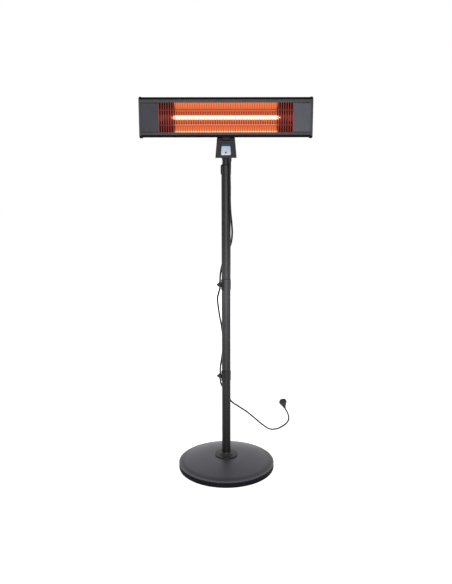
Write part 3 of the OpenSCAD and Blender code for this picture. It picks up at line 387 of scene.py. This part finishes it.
# %% Mix the finishes
pole_coat = finish("pole_coat", tint("403e41"), 0.5, vary=0.08, broad=11.0, grain=1100.0,
                   depth=0.00006, specular=0.28)
low_pole_coat = finish("low_pole_coat", tint("403e41"), 0.45, vary=0.08, broad=11.0, grain=1100.0,
                       depth=0.00006, specular=0.2)
flange_coat = finish("flange_coat", tint("171719"), 0.45, vary=0.08, broad=20.0, grain=900.0,
                     depth=0.00005, specular=0.35)
neck_coat = finish("neck_coat", tint("141415"), 0.5, vary=0.06, broad=20.0, grain=1200.0,
                   specular=0.2)
box_plastic = finish("box_plastic", tint("474548"), 0.6, vary=0.04, broad=15.0, grain=1500.0,
                     depth=0.00006, specular=0.12)
black_plastic = finish("black_plastic", tint("151516"), 0.5, vary=0.06, broad=25.0,
                       grain=1500.0, specular=0.25)
foot_rubber = finish("foot_rubber", tint("121213"), 0.6, vary=0.1, broad=30.0, grain=800.0,
                     specular=0.1)
rim_black = finish("rim_black", tint("16171c"), 0.6, vary=0.1, broad=30.0, grain=800.0,
                   specular=0.04)
cement = finish("cement", tint("a09d98"), 0.9, vary=0.15, broad=25.0, grain=400.0, depth=0.0003)
zinc_steel = finish("zinc_steel", tint("b9bcc0"), 0.35, metal=1.0, vary=0.08, broad=60.0,
                    grain=500.0, depth=0.00003)
dark_steel = finish("dark_steel", tint("4a4a4d"), 0.4, metal=0.8, vary=0.08, broad=80.0,
                    grain=900.0, depth=0.00003)
washer_brass = finish("washer_brass", tint("b79a5c"), 0.35, metal=1.0, broad=90.0, grain=800.0)
cast_grey = finish("cast_grey", tint("39373a"), 0.6, vary=0.06, broad=30.0, grain=800.0,
                   depth=0.00012, specular=0.05)
ceramic_white = finish("ceramic_white", tint("d8d0c2"), 0.6, vary=0.05, broad=50.0, grain=600.0)
board_green = finish("board_green", tint("2e6b3c"), 0.45, vary=0.1, broad=120.0, grain=900.0)
print("mixed", len(bpy.data.materials), "finishes so far")

# %% [markdown]
# ## Painted light by height
# The pole's coat is painted palest half way up and darkest near the floor and under the box. This
# is painted light and shade: light falls most on the middle of the pole, and least near the floor
# and in the shade under the box. The box is painted paler along the top of its slope, as painted
# light against the shade that the head casts there. A ramp by height dims a coat's colour, and
# because it reads the height above the floor and not the part's own length, tubes that meet match.


# %% Read a height and multiply colours
def grey(share):
    """A plain grey, for multiplying another colour by."""
    return (share, share, share, 1)


def place_parts(tree, place):
    """Separate X, Y and Z of the place on the object."""
    return join(tree, place, add_node(tree, "ShaderNodeSeparateXYZ"), "Object", 0)


def times(tree, first, second, out_first="Color", out_second="Color"):
    """Two colours multiplied."""
    made = add_node(tree, "ShaderNodeMixRGB", {"blend_type": "MULTIPLY"}, Fac=1.0)
    join(tree, first, made, out_first, "Color1")
    return join(tree, second, made, out_second, "Color2")


print("heights can be read")


# %% Paint light and shade on three coats by height
def paint_light_by_height(made, stops, top):
    """Paints light and shade on a finish: multiplies its colour by shares given at heights above
    the floor, up to top.
    """
    tree = made.node_tree
    shader, place = tree.nodes["Principled BSDF"], tree.nodes["Texture Coordinate"]
    height = spread(tree, place_parts(tree, place), 0.0, 1.0, "Z", (0.0, top))
    share = ramp_between(tree, height, [(z / top, grey(s)) for z, s in stops])
    coat = shader.inputs["Base Color"].links[0].from_node
    join(tree, times(tree, coat, share), shader, "Color", "Base Color")


# Painted light and shade on the pole: (height above the floor, share of the colour)
pole_painted_shading = [(0.1, 0.04), (0.22, 0.08), (0.32, 0.28), (0.41, 0.28), (0.47, 0.36), (0.57, 0.6),
              (0.69, 1.0), (0.75, 0.85), (0.8, 0.6), (0.92, 0.2), (1.1, 0.08)]
# Painted light on the box's sloping top, against the head's shade
box_painted_light = [(1.255, 0.56), (1.263, 1.0)]
paint_light_by_height(pole_coat, pole_painted_shading, 1.2)
paint_light_by_height(low_pole_coat, pole_painted_shading, 1.2)
paint_light_by_height(box_plastic, box_painted_light, 1.3)
print("dimmed 3 coats")

# %% [markdown]
# ## The head's coats
# The extrusion is coated grey on its faces. Its rounded top and bottom are painted black as painted
# shade, since these edges turn away from the light. The panels are painted darker where they slip
# under the lips, as a painted shadow of the lips. Separate pieces could carry the two tones, but
# one ramp along Z holds both, with a short step where they change.


# %% Coat the head in bands
def shade_banded_coat(name, node, face, edge, under, over, rough=0.55, step=0.0015):
    """A coat whose edge is painted dark as shade, under deep at the node's foot and over deep at
    its top.
    """
    made, tree, shader, place = blank_finish(name)
    low, high = (c.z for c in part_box(node))
    bands = [(low, edge), (low + under - step, edge), (low + under, face),
             (high - over, face), (high - over + step, edge), (high, edge)]
    height = spread(tree, place_parts(tree, place), 0.0, 1.0, "Z", (low, high))
    tone = ramp_between(tree, height, [((z - low) / (high - low), colour) for z, colour in bands])
    cloud = mottled(tree, noise_at(tree, place, 9.0), grey(0.94), grey(1.05))
    join(tree, times(tree, tone, cloud), shader, "Color", "Base Color")
    fine = noise_at(tree, place, 1300.0, 2.0)
    fine_grain(tree, shader, fine, rough, strength=0.6, depth=0.00005)
    shader.inputs["Specular IOR Level"].default_value = 0.04
    return made


# The edge bands are painted shade on the rounded edges, and the panels' seam bands are a painted
# shadow of the lips
rail_grey, edge_shade_black, lip_shadow_grey = tint("4d4d50"), tint("0f0f10"), tint("202023")
head_coat = shade_banded_coat("head_coat", "head_housing", rail_grey, edge_shade_black,
                        under=0.0102, over=0.0088)
cap_plastic = shade_banded_coat("cap_plastic", "left_end_cap", rail_grey, edge_shade_black,
                          under=0.0105, over=0.0095)
left_panel_coat = shade_banded_coat("left_panel_coat", "left_face_panel", tint("47484d"), lip_shadow_grey,
                              under=0.0068, over=0.0068)
# The right panel is painted a paler grey than the left: painted light, as more light falls on the
# right
right_panel_lit_coat = shade_banded_coat("right_panel_lit_coat", "right_face_panel", tint("5c5d62"), lip_shadow_grey,
                               under=0.0068, over=0.0068)
print("banded 4 coats")

# %% [markdown]
# ## The lamp's light
# The lamp is the brightest thing: a coil glows inside a quartz tube, and its light
# colours the reflector, the grille and the walls round them. Real light would have to
# bounce many times between them, and would be slow and grainy, so each of these gives
# the light that it would throw back. The glow runs only along the coil, so one ramp is
# worked out from the distance to the middle, and others from the height up the window.

# %% Measure the lamp and its window
glow_half, tube_half, window_half = 0.185, 0.007, 0.05075
lamp_z = (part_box("quartz_tube")[0].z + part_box("quartz_tube")[1].z) / 2
window_low, window_high = lamp_z - window_half, lamp_z + window_half


def math_on(tree, operation, source, out, value):
    """One math node on a source and a number."""
    made = add_node(tree, "ShaderNodeMath", {"operation": operation})
    made.inputs[1].default_value = value
    return join(tree, source, made, out, 0)


def along_lamp(tree, parts, inside, outside, start=glow_half - 0.001, end=glow_half + 0.002):
    """A ramp of colours along X, from the glowing middle out to both ends."""
    from_middle = math_on(tree, "ABSOLUTE", parts, "X", 0.0)
    outward = spread(tree, from_middle, 0.0, 1.0, 0, (start, end))
    return ramp_between(tree, outward, [(0.0, inside), (1.0, outside)])


def up_window(tree, parts, bands):
    """A ramp of colours along Z, from the window's foot to its top."""
    height = spread(tree, parts, 0.0, 1.0, "Z", (window_low, window_high))
    return ramp_between(tree, height, bands)


def give_light(tree, shader, colour):
    """Makes a surface give off a colour of light at its plain strength."""
    join(tree, colour, shader, "Color", "Emission Color")
    shader.inputs["Emission Strength"].default_value = 1.0


print("lamp at", round(lamp_z, 4), "m, in a window", 2 * window_half, "m high")

# %% [markdown]
# ## Tube and coil
# The tube is clear quartz, but beside so bright a coil its wall reads as peach, and a
# little duller underneath. Its ends stay almost clear. The coil itself shows as a faint
# line, and its leads glow a dull red.


# %% Make the tube and the coil glow
def quartz_finish():
    """Clear tube whose wall glows peach along the coil and faintly beyond it."""
    made, tree, shader, place = blank_finish("glowing_quartz")
    parts = place_parts(tree, place)
    glow = along_lamp(tree, parts, (0.8, 0.55, 0.38, 1), (0.11, 0.022, 0.016, 1))
    height = spread(tree, parts, 0.0, 1.0, "Z", (lamp_z - tube_half, lamp_z + tube_half))
    underside = [(0.0, (0.45, 0.4, 0.35, 1)), (0.25, (0.6, 0.55, 0.5, 1)), (0.4, grey(1))]
    glow = times(tree, glow, ramp_between(tree, height, underside))
    grain = mottled(tree, noise_at(tree, place, 300.0), grey(0.95), grey(1.05))
    give_light(tree, shader, times(tree, glow, grain))
    shader.inputs["Base Color"].default_value = (1.0, 0.86, 0.74, 1)
    shader.inputs["Roughness"].default_value = 0.05
    shader.inputs["Transmission Weight"].default_value = 1.0
    shader.inputs["IOR"].default_value = 1.46
    return made


def coil_finish():
    """A coil that adds a little to the tube's glow, with red leads."""
    made, tree, shader, place = blank_finish("glowing_coil")
    glow = along_lamp(tree, place_parts(tree, place), (0.22, 0.14, 0.2, 1), (0.8, 0.26, 0.19, 1))
    grain = mottled(tree, noise_at(tree, place, 500.0), (0.9, 0.85, 0.8, 1), grey(1))
    give_light(tree, shader, times(tree, glow, grain))
    shader.inputs["Base Color"].default_value = (0.3, 0.2, 0.15, 1)
    return made


glowing_quartz, glowing_coil = quartz_finish(), coil_finish()
print("tube and coil glow for", 2 * glow_half, "m")

# %% [markdown]
# ## Reflector
# The reflector is a folded bright sheet, and its look is painted light. Its flanks are painted with
# the light that they throw straight back, and its creases with dark lines of painted shade. The
# trough behind the tube is painted a deeper red. One ramp up the window sets these bands, and a
# broad noise makes the sheet look a little dimpled.


# %% Light the reflector and its neighbours in bands
def glow_finish(name, bands, rough, fade=None):
    """Sheet with the lamp's light painted on: bands of glow from the window's foot to its top."""
    made, tree, shader, place = blank_finish(name)
    parts = place_parts(tree, place)
    glow = up_window(tree, parts, bands)
    if fade:
        start, end, dim = fade
        glow = times(tree, glow, along_lamp(tree, parts, grey(1), grey(dim), start, end))
    dimples = noise_at(tree, place, 260.0, 2.0)
    mottle = mottled(tree, dimples, (0.93, 0.91, 0.91, 1), grey(1.06), (0.35, 0.65))
    give_light(tree, shader, times(tree, glow, mottle))
    # The sheet's own colour is kept dark, as its painted glow stands for all the light on it
    sheet = mottled(tree, dimples, (0.05, 0.018, 0.01, 1), (0.07, 0.025, 0.015, 1))
    join(tree, sheet, shader, "Color", "Base Color")
    fine_grain(tree, shader, dimples, rough, strength=0.4, depth=0.0003)
    shader.inputs["Specular IOR Level"].default_value = 0.02
    return made


# Heights up the window as shares, with the painted light that the sheet throws back there; the
# creases' dark bands are painted shade
flank, flank_edge, lip_light = tint("e36a37"), tint("ee7c48"), tint("ffd2b2")
trough_edge, trough_mid = tint("902611"), tint("b84424")
crease, crease_light = tint("8a2e17"), tint("d06a48")
reflector_bands = [(0.0, lip_light), (0.03, lip_light), (0.06, flank_edge), (0.21, flank),
                   (0.228, crease), (0.256, crease), (0.27, crease_light), (0.295, trough_edge),
                   (0.4, trough_mid), (0.6, trough_mid), (0.71, trough_edge), (0.732, crease_light),
                   (0.757, crease_light), (0.770, crease), (0.787, crease), (0.803, flank),
                   (0.95, flank_edge), (1.0, flank_edge)]
bay_bands = [(0.0, tint("46100d")), (0.3, tint("440f0c")), (0.46, tint("72201a")),
             (0.54, tint("72201a")), (0.7, tint("400e0c")), (1.0, tint("3e0e0b"))]
holder_bands = [(0.0, tint("2a0f0c")), (0.45, tint("35130f")), (0.55, tint("64231b")),
                (1.0, tint("35130f"))]
bracket_bands = [(0.0, tint("4a1814")), (0.5, tint("5e211a")), (1.0, tint("3d130f"))]
lit_reflector = glow_finish("lit_reflector", reflector_bands, 0.7, (0.170, 0.182, 0.8))
lit_end = glow_finish("lit_end", bay_bands, 0.5)
# The holders and their brackets glow with painted lamp light
painted_glow_ceramic = glow_finish("painted_glow_ceramic", holder_bands, 0.6)
painted_glow_steel = glow_finish("painted_glow_steel", bracket_bands, 0.4)
print("reflector has", len(reflector_bands), "bands")

# %% [markdown]
# ## Inner walls
# The housing's coat is grey outside, but the walls round the lamp are made near black with a dim
# red glow painted on as the lamp's light. The lips nearest the glow get a painted spill of that
# light. All of this is one piece, so a
# mask picks the inner walls: they lie inside a wedge that narrows towards the back.

# %% Light the housing from inside
# The wedge: how fast it narrows, and its half height where Y is nothing
wedge_slope, wedge_reach = 1.155, 0.0794
inner_limits = (("Y", -0.0416, 0.0303), ("Z", lamp_z - 0.0664, lamp_z + 0.0664))
# The spill: its strongest and its last height from the lamp, and the lips' front side
spill_near, spill_far, lip_front = 0.0500, 0.0600, -0.0415


def math_of(tree, operation, first, second, out_second=0):
    """One math node on two sources."""
    made = add_node(tree, "ShaderNodeMath", {"operation": operation})
    join(tree, first, made, 0, 0)
    return join(tree, second, made, out_second, 1)


def within(tree, parts, axis, low, high):
    """One between two places along an axis, and nothing outside them."""
    above = math_on(tree, "GREATER_THAN", parts, axis, low)
    return math_of(tree, "MULTIPLY", above, math_on(tree, "LESS_THAN", parts, axis, high))


def light_the_inside(made):
    """Near-black inner walls with painted lamp light beyond the reflector's ends, and a painted
    spill of light on the lips.
    """
    tree = made.node_tree
    shader, place = tree.nodes["Principled BSDF"], tree.nodes["Texture Coordinate"]
    parts = place_parts(tree, place)
    off_middle = math_on(tree, "ABSOLUTE", math_on(tree, "SUBTRACT", parts, "Z", lamp_z), 0, 0.0)

    # The walls: a wedge, cut off at its back and front and along its top and bottom
    slant = math_of(tree, "ADD", off_middle, math_on(tree, "MULTIPLY", parts, "Y", wedge_slope))
    mask = math_on(tree, "LESS_THAN", slant, 0, wedge_reach)
    for axis, low, high in inner_limits:
        mask = times(tree, mask, within(tree, parts, axis, low, high), 0, 0)
    walls = up_window(tree, parts, bay_bands)
    walls = times(tree, walls, along_lamp(tree, parts, grey(1), (0.5, 0.4, 0.45, 1), 0.19, 0.24))
    walls = times(tree, walls, mask, "Color", 0)

    # Near black over the coat, wherever the mask is
    coat = shader.inputs["Base Color"].links[0].from_node
    near_black = add_node(tree, "ShaderNodeMixRGB", Color2=(0.004, 0.002, 0.002, 1))
    join(tree, mask, near_black, "Color", "Fac")
    join(tree, coat, near_black, "Color", "Color1")
    join(tree, near_black, shader, "Color", "Base Color")

    # The painted spill of lamp light on the front of the lips, which fades upwards and towards the
    # ends
    from_edge = spread(tree, off_middle, 0.0, 1.0, 0, (spill_near, spill_far))
    spill = ramp_between(tree, from_edge, [(0.0, (0.05, 0.012, 0.006, 1)), (1.0, grey(0))])
    spill = times(tree, spill, along_lamp(tree, parts, grey(1), grey(0), 0.175, 0.2))
    spill = times(tree, spill, math_on(tree, "LESS_THAN", parts, "Y", lip_front), "Color", 0)
    both = add_node(tree, "ShaderNodeMixRGB", {"blend_type": "ADD"}, Fac=1.0)
    join(tree, walls, both, "Color", "Color1")
    join(tree, spill, both, "Color", "Color2")
    give_light(tree, shader, both)


light_the_inside(head_coat)
print("housing lit inside")

# %% [markdown]
# ## Grille
# The wires are shiny and thin, so they show what shines on them and hardly any steel of
# their own. In front of the lamp they are bright, and by the ends they are dull red, so
# two ramps up the window are mixed by the distance from the middle. Both follow the
# reflector's creases, where less light reaches the wires.

# %% Light the grille's wires
wire, strip = (0.36, 0.085, 0.035, 1), (0.95, 0.33, 0.19, 1)
bright_bands = [(0.0, wire), (0.235, wire), (0.24, strip), (0.26, strip),
                (0.3, (0.85, 0.24, 0.13, 1)), (0.5, (1.0, 0.34, 0.19, 1)),
                (0.7, (0.66, 0.19, 0.09, 1)), (0.735, (0.55, 0.11, 0.045, 1)), (0.77, wire),
                (1.0, wire)]
low_wire, mid_wire = (0.36, 0.066, 0.05, 1), (0.44, 0.088, 0.068, 1)
shade, top_wire = (0.22, 0.036, 0.028, 1), (0.3, 0.055, 0.042, 1)
dull_bands = [(0.0, low_wire), (0.215, low_wire), (0.225, shade), (0.265, shade),
              (0.275, low_wire), (0.4, mid_wire), (0.6, mid_wire), (0.72, low_wire),
              (0.73, shade), (0.775, shade), (0.785, low_wire), (1.0, top_wire)]


def grille_finish():
    """Wires lit brightly in front of the lamp and dimly beyond its ends."""
    made, tree, shader, place = blank_finish("grille_steel")
    parts = place_parts(tree, place)
    glow = add_node(tree, "ShaderNodeMixRGB")
    beyond = along_lamp(tree, parts, grey(0), grey(1), 0.174, 0.188)
    join(tree, beyond, glow, "Color", "Fac")
    join(tree, up_window(tree, parts, bright_bands), glow, "Color", "Color1")
    join(tree, up_window(tree, parts, dull_bands), glow, "Color", "Color2")
    fine = noise_at(tree, place, 900.0, 2.0)
    give_light(tree, shader, times(tree, glow, mottled(tree, fine, grey(0.88), grey(1.1))))
    shader.inputs["Base Color"].default_value = (0.04, 0.012, 0.01, 1)
    shader.inputs["Metallic"].default_value = 0.2
    shader.inputs["Specular IOR Level"].default_value = 0.05
    join(tree, spread(tree, fine, 0.35, 0.45), shader, 0, "Roughness")
    return made


grille_steel = grille_finish()
print("grille has", len(bright_bands), "bright bands and", len(dull_bands), "dull ones")

# %% [markdown]
# ## The control plate
# A glossy film covers the plate, pale blue at its head and almost white at its foot.
# The colour runs up the plate with Z, and a clear coat gives the film its gloss.


# %% Film and window finishes
def film_finish(name, node, low, high, rough, top):
    """A printed film: low at the node's foot, half way to high above it, then top's stops."""
    made, tree, shader, place = blank_finish(name)
    foot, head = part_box(node)
    height = spread(tree, place_parts(tree, place), 0.0, 1.0, "Z", (foot.z, head.z))
    middle = [(a + b) / 2 for a, b in zip(low, high)]
    colours = ramp_between(tree, height, [(0.0, low), (0.45, middle), *top])
    join(tree, colours, shader, "Color", "Base Color")
    ripple = spread(tree, noise_at(tree, place, 400.0), rough - 0.03, rough + 0.03)
    join(tree, ripple, shader, 0, "Roughness")
    shader.inputs["Specular IOR Level"].default_value = 0.3
    shader.inputs["Coat Weight"].default_value = 0.15
    shader.inputs["Coat Roughness"].default_value = 0.2
    return made


pale_blue, navy, night_blue = tint("aac0d4"), tint("27405d"), tint("1d3148")
plate_film = film_finish("plate_film", "control_plate", tint("d0d5dc"), pale_blue, 0.35,
                         [(0.93, pale_blue), (0.945, navy), (1.0, navy)])
window_film = film_finish("window_film", "status_window", tint("2c4766"), night_blue, 0.3,
                          [(1.0, night_blue)])
button_cap = finish("button_cap", tint("0b0d12"), 0.5, broad=300.0, grain=2000.0, specular=0.1)
print("films for the plate and its window")

# %% [markdown]
# ## Parts that keep their shape
# Most parts are right as the frame holds them, since nobody sees their edges from near.
# They only need a finish in place of the plain one that they came with.

# %% Dress the parts that keep their shape
dress = {
    "rubber_feet": foot_rubber, "base_weight": cement, "base_washer": zinc_steel,
    "base_bolt": zinc_steel, "pole_plug": zinc_steel, "lower_tube": low_pole_coat,
    "lower_joint_sleeve": foot_rubber, "middle_tube": pole_coat,
    "upper_joint_sleeve": foot_rubber, "upper_tube": pole_coat, "neck_bush": black_plastic,
    "clamp_screws": dark_steel, "neck_tube": neck_coat, "yoke": cast_grey,
    "friction_washers": washer_brass, "hinge_bolt": dark_steel, "hinge_nut": dark_steel,
    "box_screws": dark_steel, "status_window": window_film, "power_button": button_cap,
    "button_switch": black_plastic, "control_board": board_green,
    "tip_over_switch": black_plastic, "tongue_screws": zinc_steel, "cap_screws": dark_steel,
    "left_face_panel": left_panel_coat, "right_face_panel": right_panel_lit_coat,
    "wire_grille": grille_steel, "reflector": lit_reflector, "reflector_ends": lit_end,
    "reflector_stays": zinc_steel,
    "quartz_tube": glowing_quartz, "filament": glowing_coil, "lamp_holders": painted_glow_ceramic,
    "holder_brackets": painted_glow_steel, "terminal_block": ceramic_white,
}
for node, material in dress.items():
    nodes[node].data.materials.clear()
    nodes[node].data.materials.append(material)
print("dressed", len(dress), "parts")

# %% [markdown]
# ## Base
# The base is a pressed steel dish over a cement weight, with a rubber ring round it and
# a stepped flange on top. All are round, so each is a profile turned about the pole.
# The dish falls slowly at first and then ever more steeply, which one power gives.

# %% Measure the base
base_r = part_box("base_rim")[1].x
rim_low, rim_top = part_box("base_rim")[0].z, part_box("base_rim")[1].z
dish_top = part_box("base_cover")[1].z
print("base is", round(2 * base_r, 4), "m across and", round(dish_top, 4), "m high")


# %% Coat the dish with rings of painted shade and highlight
def painted_ring_coat():
    """Satin coat painted by the radius: a little darker near the pole, a dark ring of painted shade
    inside the lip where the dish turns steeper, and a painted highlight on the lip.
    """
    made, tree, shader, place = blank_finish("base_coat")
    flat = add_node(tree, "ShaderNodeVectorMath", {"operation": "MULTIPLY"})
    flat.inputs[1].default_value = (1.0, 1.0, 0.0)
    join(tree, place, flat, "Object", 0)
    length = join(tree, flat, add_node(tree, "ShaderNodeVectorMath", {"operation": "LENGTH"}))
    out = spread(tree, length, 0.0, 1.0, "Value", (0.0, base_r))
    # Painted shade and highlight: (share of the radius, share of the colour)
    ring_shades = [(0.0, 0.9), (0.25, 0.9), (0.6, 1.0), (0.86, 0.95), (0.905, 0.25), (0.955, 0.2),
             (0.972, 1.3), (1.0, 1.3)]
    rings = ramp_between(tree, out, [(at, grey(share)) for at, share in ring_shades])
    cloud = mottled(tree, noise_at(tree, place, 7.0, 4.0), (0.044, 0.042, 0.052, 1),
                    (0.052, 0.050, 0.062, 1))
    join(tree, times(tree, cloud, rings), shader, "Color", "Base Color")
    shader.inputs["Specular IOR Level"].default_value = 0.5
    shader.inputs["Specular Tint"].default_value = (0.93, 0.92, 1.0, 1.0)
    fine = noise_at(tree, place, 700.0, 2.0)
    fine_grain(tree, shader, fine, rough=0.41, strength=0.5, depth=0.00005)
    return made


base_coat = painted_ring_coat()
print("dish coated")

# %% Turn the dish
flat_r, edge_r, dish_power, sheet = 0.046, base_r - 0.0012, 1.9, 0.0016
dish_hole, first_r = 0.0055, 0.03


def dish_height(radius):
    """Height of the dish's upper side at a distance from the pole."""
    share = max(0.0, (radius - flat_r) / (base_r - flat_r))
    return dish_top - (dish_top - rim_top - sheet) * share**dish_power


dish_radii = [flat_r + (edge_r - flat_r) * i / 30 for i in range(31)]
dish_profile = [(dish_hole, dish_top - sheet), (dish_hole, dish_top), (first_r, dish_top)]
dish_profile += [(r, dish_height(r)) for r in dish_radii]
dish_profile += [(base_r, dish_height(base_r) - 0.0006), (base_r, rim_top)]
dish_profile += [(r, max(rim_top, dish_height(r) - sheet)) for r in reversed(dish_radii)]
dish_profile += [(first_r, dish_top - sheet)]
piece_from(turned(dish_profile, 160), "pressed_dish", "stand", base_coat,
           ["base_cover"], 40)
print("dish turned from", len(dish_profile), "points")

# %% Turn the ring and the flange
ring_in = base_r - 0.008
ring_profile = rounded([(ring_in, rim_low), (base_r - 0.001, rim_low), (base_r, rim_low + 0.003),
                        (base_r, rim_top), (ring_in, rim_top)], 0.0014)
piece_from(turned(ring_profile, 160), "base_ring", "stand", rim_black,
           ["base_rim"], 40)

flange_r, sleeve_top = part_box("pole_flange")[1].x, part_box("pole_flange")[1].z
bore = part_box("lower_tube")[1].x + 0.00005
foot_top, step_r, step_top = dish_top + 0.004, 0.029, dish_top + 0.008
sleeve_r = bore + 0.0012
flange_profile = rounded(
    [(bore, dish_top), (flange_r, dish_top), (flange_r, foot_top), (step_r, foot_top),
     (step_r - 0.0015, step_top - 0.0015), (step_r - 0.003, step_top),
     (bore + 0.0024, step_top), (sleeve_r, step_top + 0.0012), (sleeve_r, step_top + 0.0025),
     (bore + 0.0006, sleeve_top), (bore, sleeve_top)], 0.0012)
piece_from(turned(flange_profile), "flared_flange", "stand", flange_coat,
           ["pole_flange"], 40)
print("ring and flange turned")

# %% [markdown]
# ## Softened parts
# Everything else that shows is the frame's own shape with its edges rounded: the box,
# the housing, its caps, the clips and the collar. In the frame their edges are as sharp
# as a knife, and no real part's are. A modifier could bevel them, but the frame's faces
# are loose triangles. So a copy is merged, its flat faces are joined, and the edges
# that turn sharply are bevelled.


# %% Merge and bevel a copy of a part
def merged_copy(node):
    """A part's mesh as a bmesh, merged, with its flat faces joined."""
    bm = bmesh.new()
    bm.from_mesh(nodes[node].data)
    bmesh.ops.remove_doubles(bm, verts=bm.verts, dist=2e-6)
    bmesh.ops.dissolve_limit(bm, angle_limit=math.radians(0.5), verts=bm.verts, edges=bm.edges)
    bmesh.ops.connect_verts_concave(bm, faces=bm.faces)
    return bm


def softened(node, name, width, material, segments=3, corner=30.0):
    """A copy of a part whose sharp edges are rounded, which stands for the part."""
    bm = merged_copy(node)
    edges = [e for e in bm.edges if e.is_manifold and e.calc_face_angle(0.0) > math.radians(corner)]
    bmesh.ops.bevel(bm, geom=edges, offset=width, offset_type="OFFSET", segments=segments,
                    profile=0.5, affect="EDGES", clamp_overlap=False, material=-1)
    body = nodes[node]["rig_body"]
    made = piece_from(bm, name, body, material, [node], 50.0)
    even = made.modifiers.new("even_shading", "WEIGHTED_NORMAL")
    even.keep_sharp = True
    return made


print("parts can be softened")

# %% Round the edges of the moulded and pressed parts
softened("lower_cord_clip", "lower_lead_clip", 0.0006, black_plastic)
softened("upper_cord_clip", "upper_lead_clip", 0.0006, black_plastic)
softened("clamp_collar", "pole_collar", 0.0004, black_plastic)
softened("neck_ferrule", "flared_ferrule", 0.0004, neck_coat)
softened("cord_gland", "lead_gland", 0.0005, black_plastic)
softened("box_front_shell", "front_shell", 0.0008, box_plastic)
softened("box_rear_shell", "rear_shell", 0.0008, box_plastic)
softened("control_plate", "touch_plate", 0.0003, plate_film)
softened("tilt_tongue", "hinge_tongue", 0.0008, cast_grey)
softened("head_housing", "ribbed_housing", 0.0004, head_coat, 2)
softened("left_end_cap", "left_cap", 0.0006, cap_plastic)
softened("right_end_cap", "right_cap", 0.0006, cap_plastic)
print("softened parts done")

# %% [markdown]
# ## Studio
# A wide lamp in front of the heater gives its dark coat a bright middle and dark sides,
# and a second one behind it keeps its back from going black. The room is white to the
# eye, to shiny things and through clear ones, and dim to everything else, so that the
# white costs the dark coats nothing. The kind of ray decides which of the two it is.


# %% Tell one kind of ray from another
def seen_rays(tree):
    """One for a ray from the eye, off a shiny thing or through a clear one, else nothing."""
    path = add_node(tree, "ShaderNodeLightPath")
    eye_or_gloss = add_node(tree, "ShaderNodeMath", {"operation": "MAXIMUM"})
    join(tree, path, eye_or_gloss, "Is Camera Ray", 0)
    join(tree, path, eye_or_gloss, "Is Glossy Ray", 1)
    return math_of(tree, "MAXIMUM", eye_or_gloss, path, "Is Transmission Ray")


def shown_by_ray(tree, lit, seen, output):
    """Sends one shader to the rays that light things, and another to those that are seen."""
    choose = add_node(tree, "ShaderNodeMixShader")
    join(tree, seen_rays(tree), choose, 0, 0)
    join(tree, lit, choose, 0, 1)
    join(tree, seen, choose, 0, 2)
    join(tree, choose, add_node(tree, output), 0, 0)


print("helpers for the room are ready")

# %% Light the room
world = bpy.data.worlds.new("studio")
scene.world = world
world.use_nodes = True
tree = world.node_tree
tree.nodes.clear()
dim = add_node(tree, "ShaderNodeBackground", Color=(1, 1, 1, 1), Strength=0.15)
white = add_node(tree, "ShaderNodeBackground", Color=(1, 1, 1, 1), Strength=1.0)
shown_by_ray(tree, dim, white, "ShaderNodeOutputWorld")
print("room is white to the eye")

# %% Lay the floor
floor_bm = bmesh.new()
bmesh.ops.create_circle(floor_bm, cap_ends=True, radius=9.0, segments=64)
floor_mesh = bpy.data.meshes.new("floor")
floor_bm.to_mesh(floor_mesh)
floor_bm.free()
floor = bpy.data.objects.new("floor", floor_mesh)
scene.collection.objects.link(floor)
floor_paint = bpy.data.materials.new("floor_paint")
floor_paint.use_nodes = True
tree = floor_paint.node_tree
tree.nodes.clear()
matt = add_node(tree, "ShaderNodeBsdfDiffuse", Color=(0.9, 0.9, 0.9, 1))
lift = add_node(tree, "ShaderNodeEmission", Color=(1, 1, 1, 1), Strength=0.87)
both = add_node(tree, "ShaderNodeAddShader")
join(tree, matt, both, 0, 0)
join(tree, lift, both, 0, 1)
shown_by_ray(tree, matt, both, "ShaderNodeOutputMaterial")
floor.data.materials.append(floor_paint)
print("floor laid")


# %% Hang the lamps
def soft_lamp(name, place, aim, size, power):
    """A square area lamp that points at a place."""
    data = bpy.data.lights.new(name, "AREA")
    data.size = size
    data.energy = power
    made = bpy.data.objects.new(name, data)
    made.location = place
    made.rotation_euler = (Vector(aim) - Vector(place)).to_track_quat("-Z", "Y").to_euler()
    scene.collection.objects.link(made)
    return made


soft_lamp("key_lamp", place=(0.12, -3.1, 0.65), aim=(0, 0, 0.9), size=0.7, power=72)
back_lamp = soft_lamp("back_lamp", place=(-0.9, 3.0, 2.4), aim=(0, 0, 0.8), size=2.0, power=100)
back_lamp.visible_glossy = False
scene.view_settings.view_transform = "Standard"
print("hung 2 lamps")
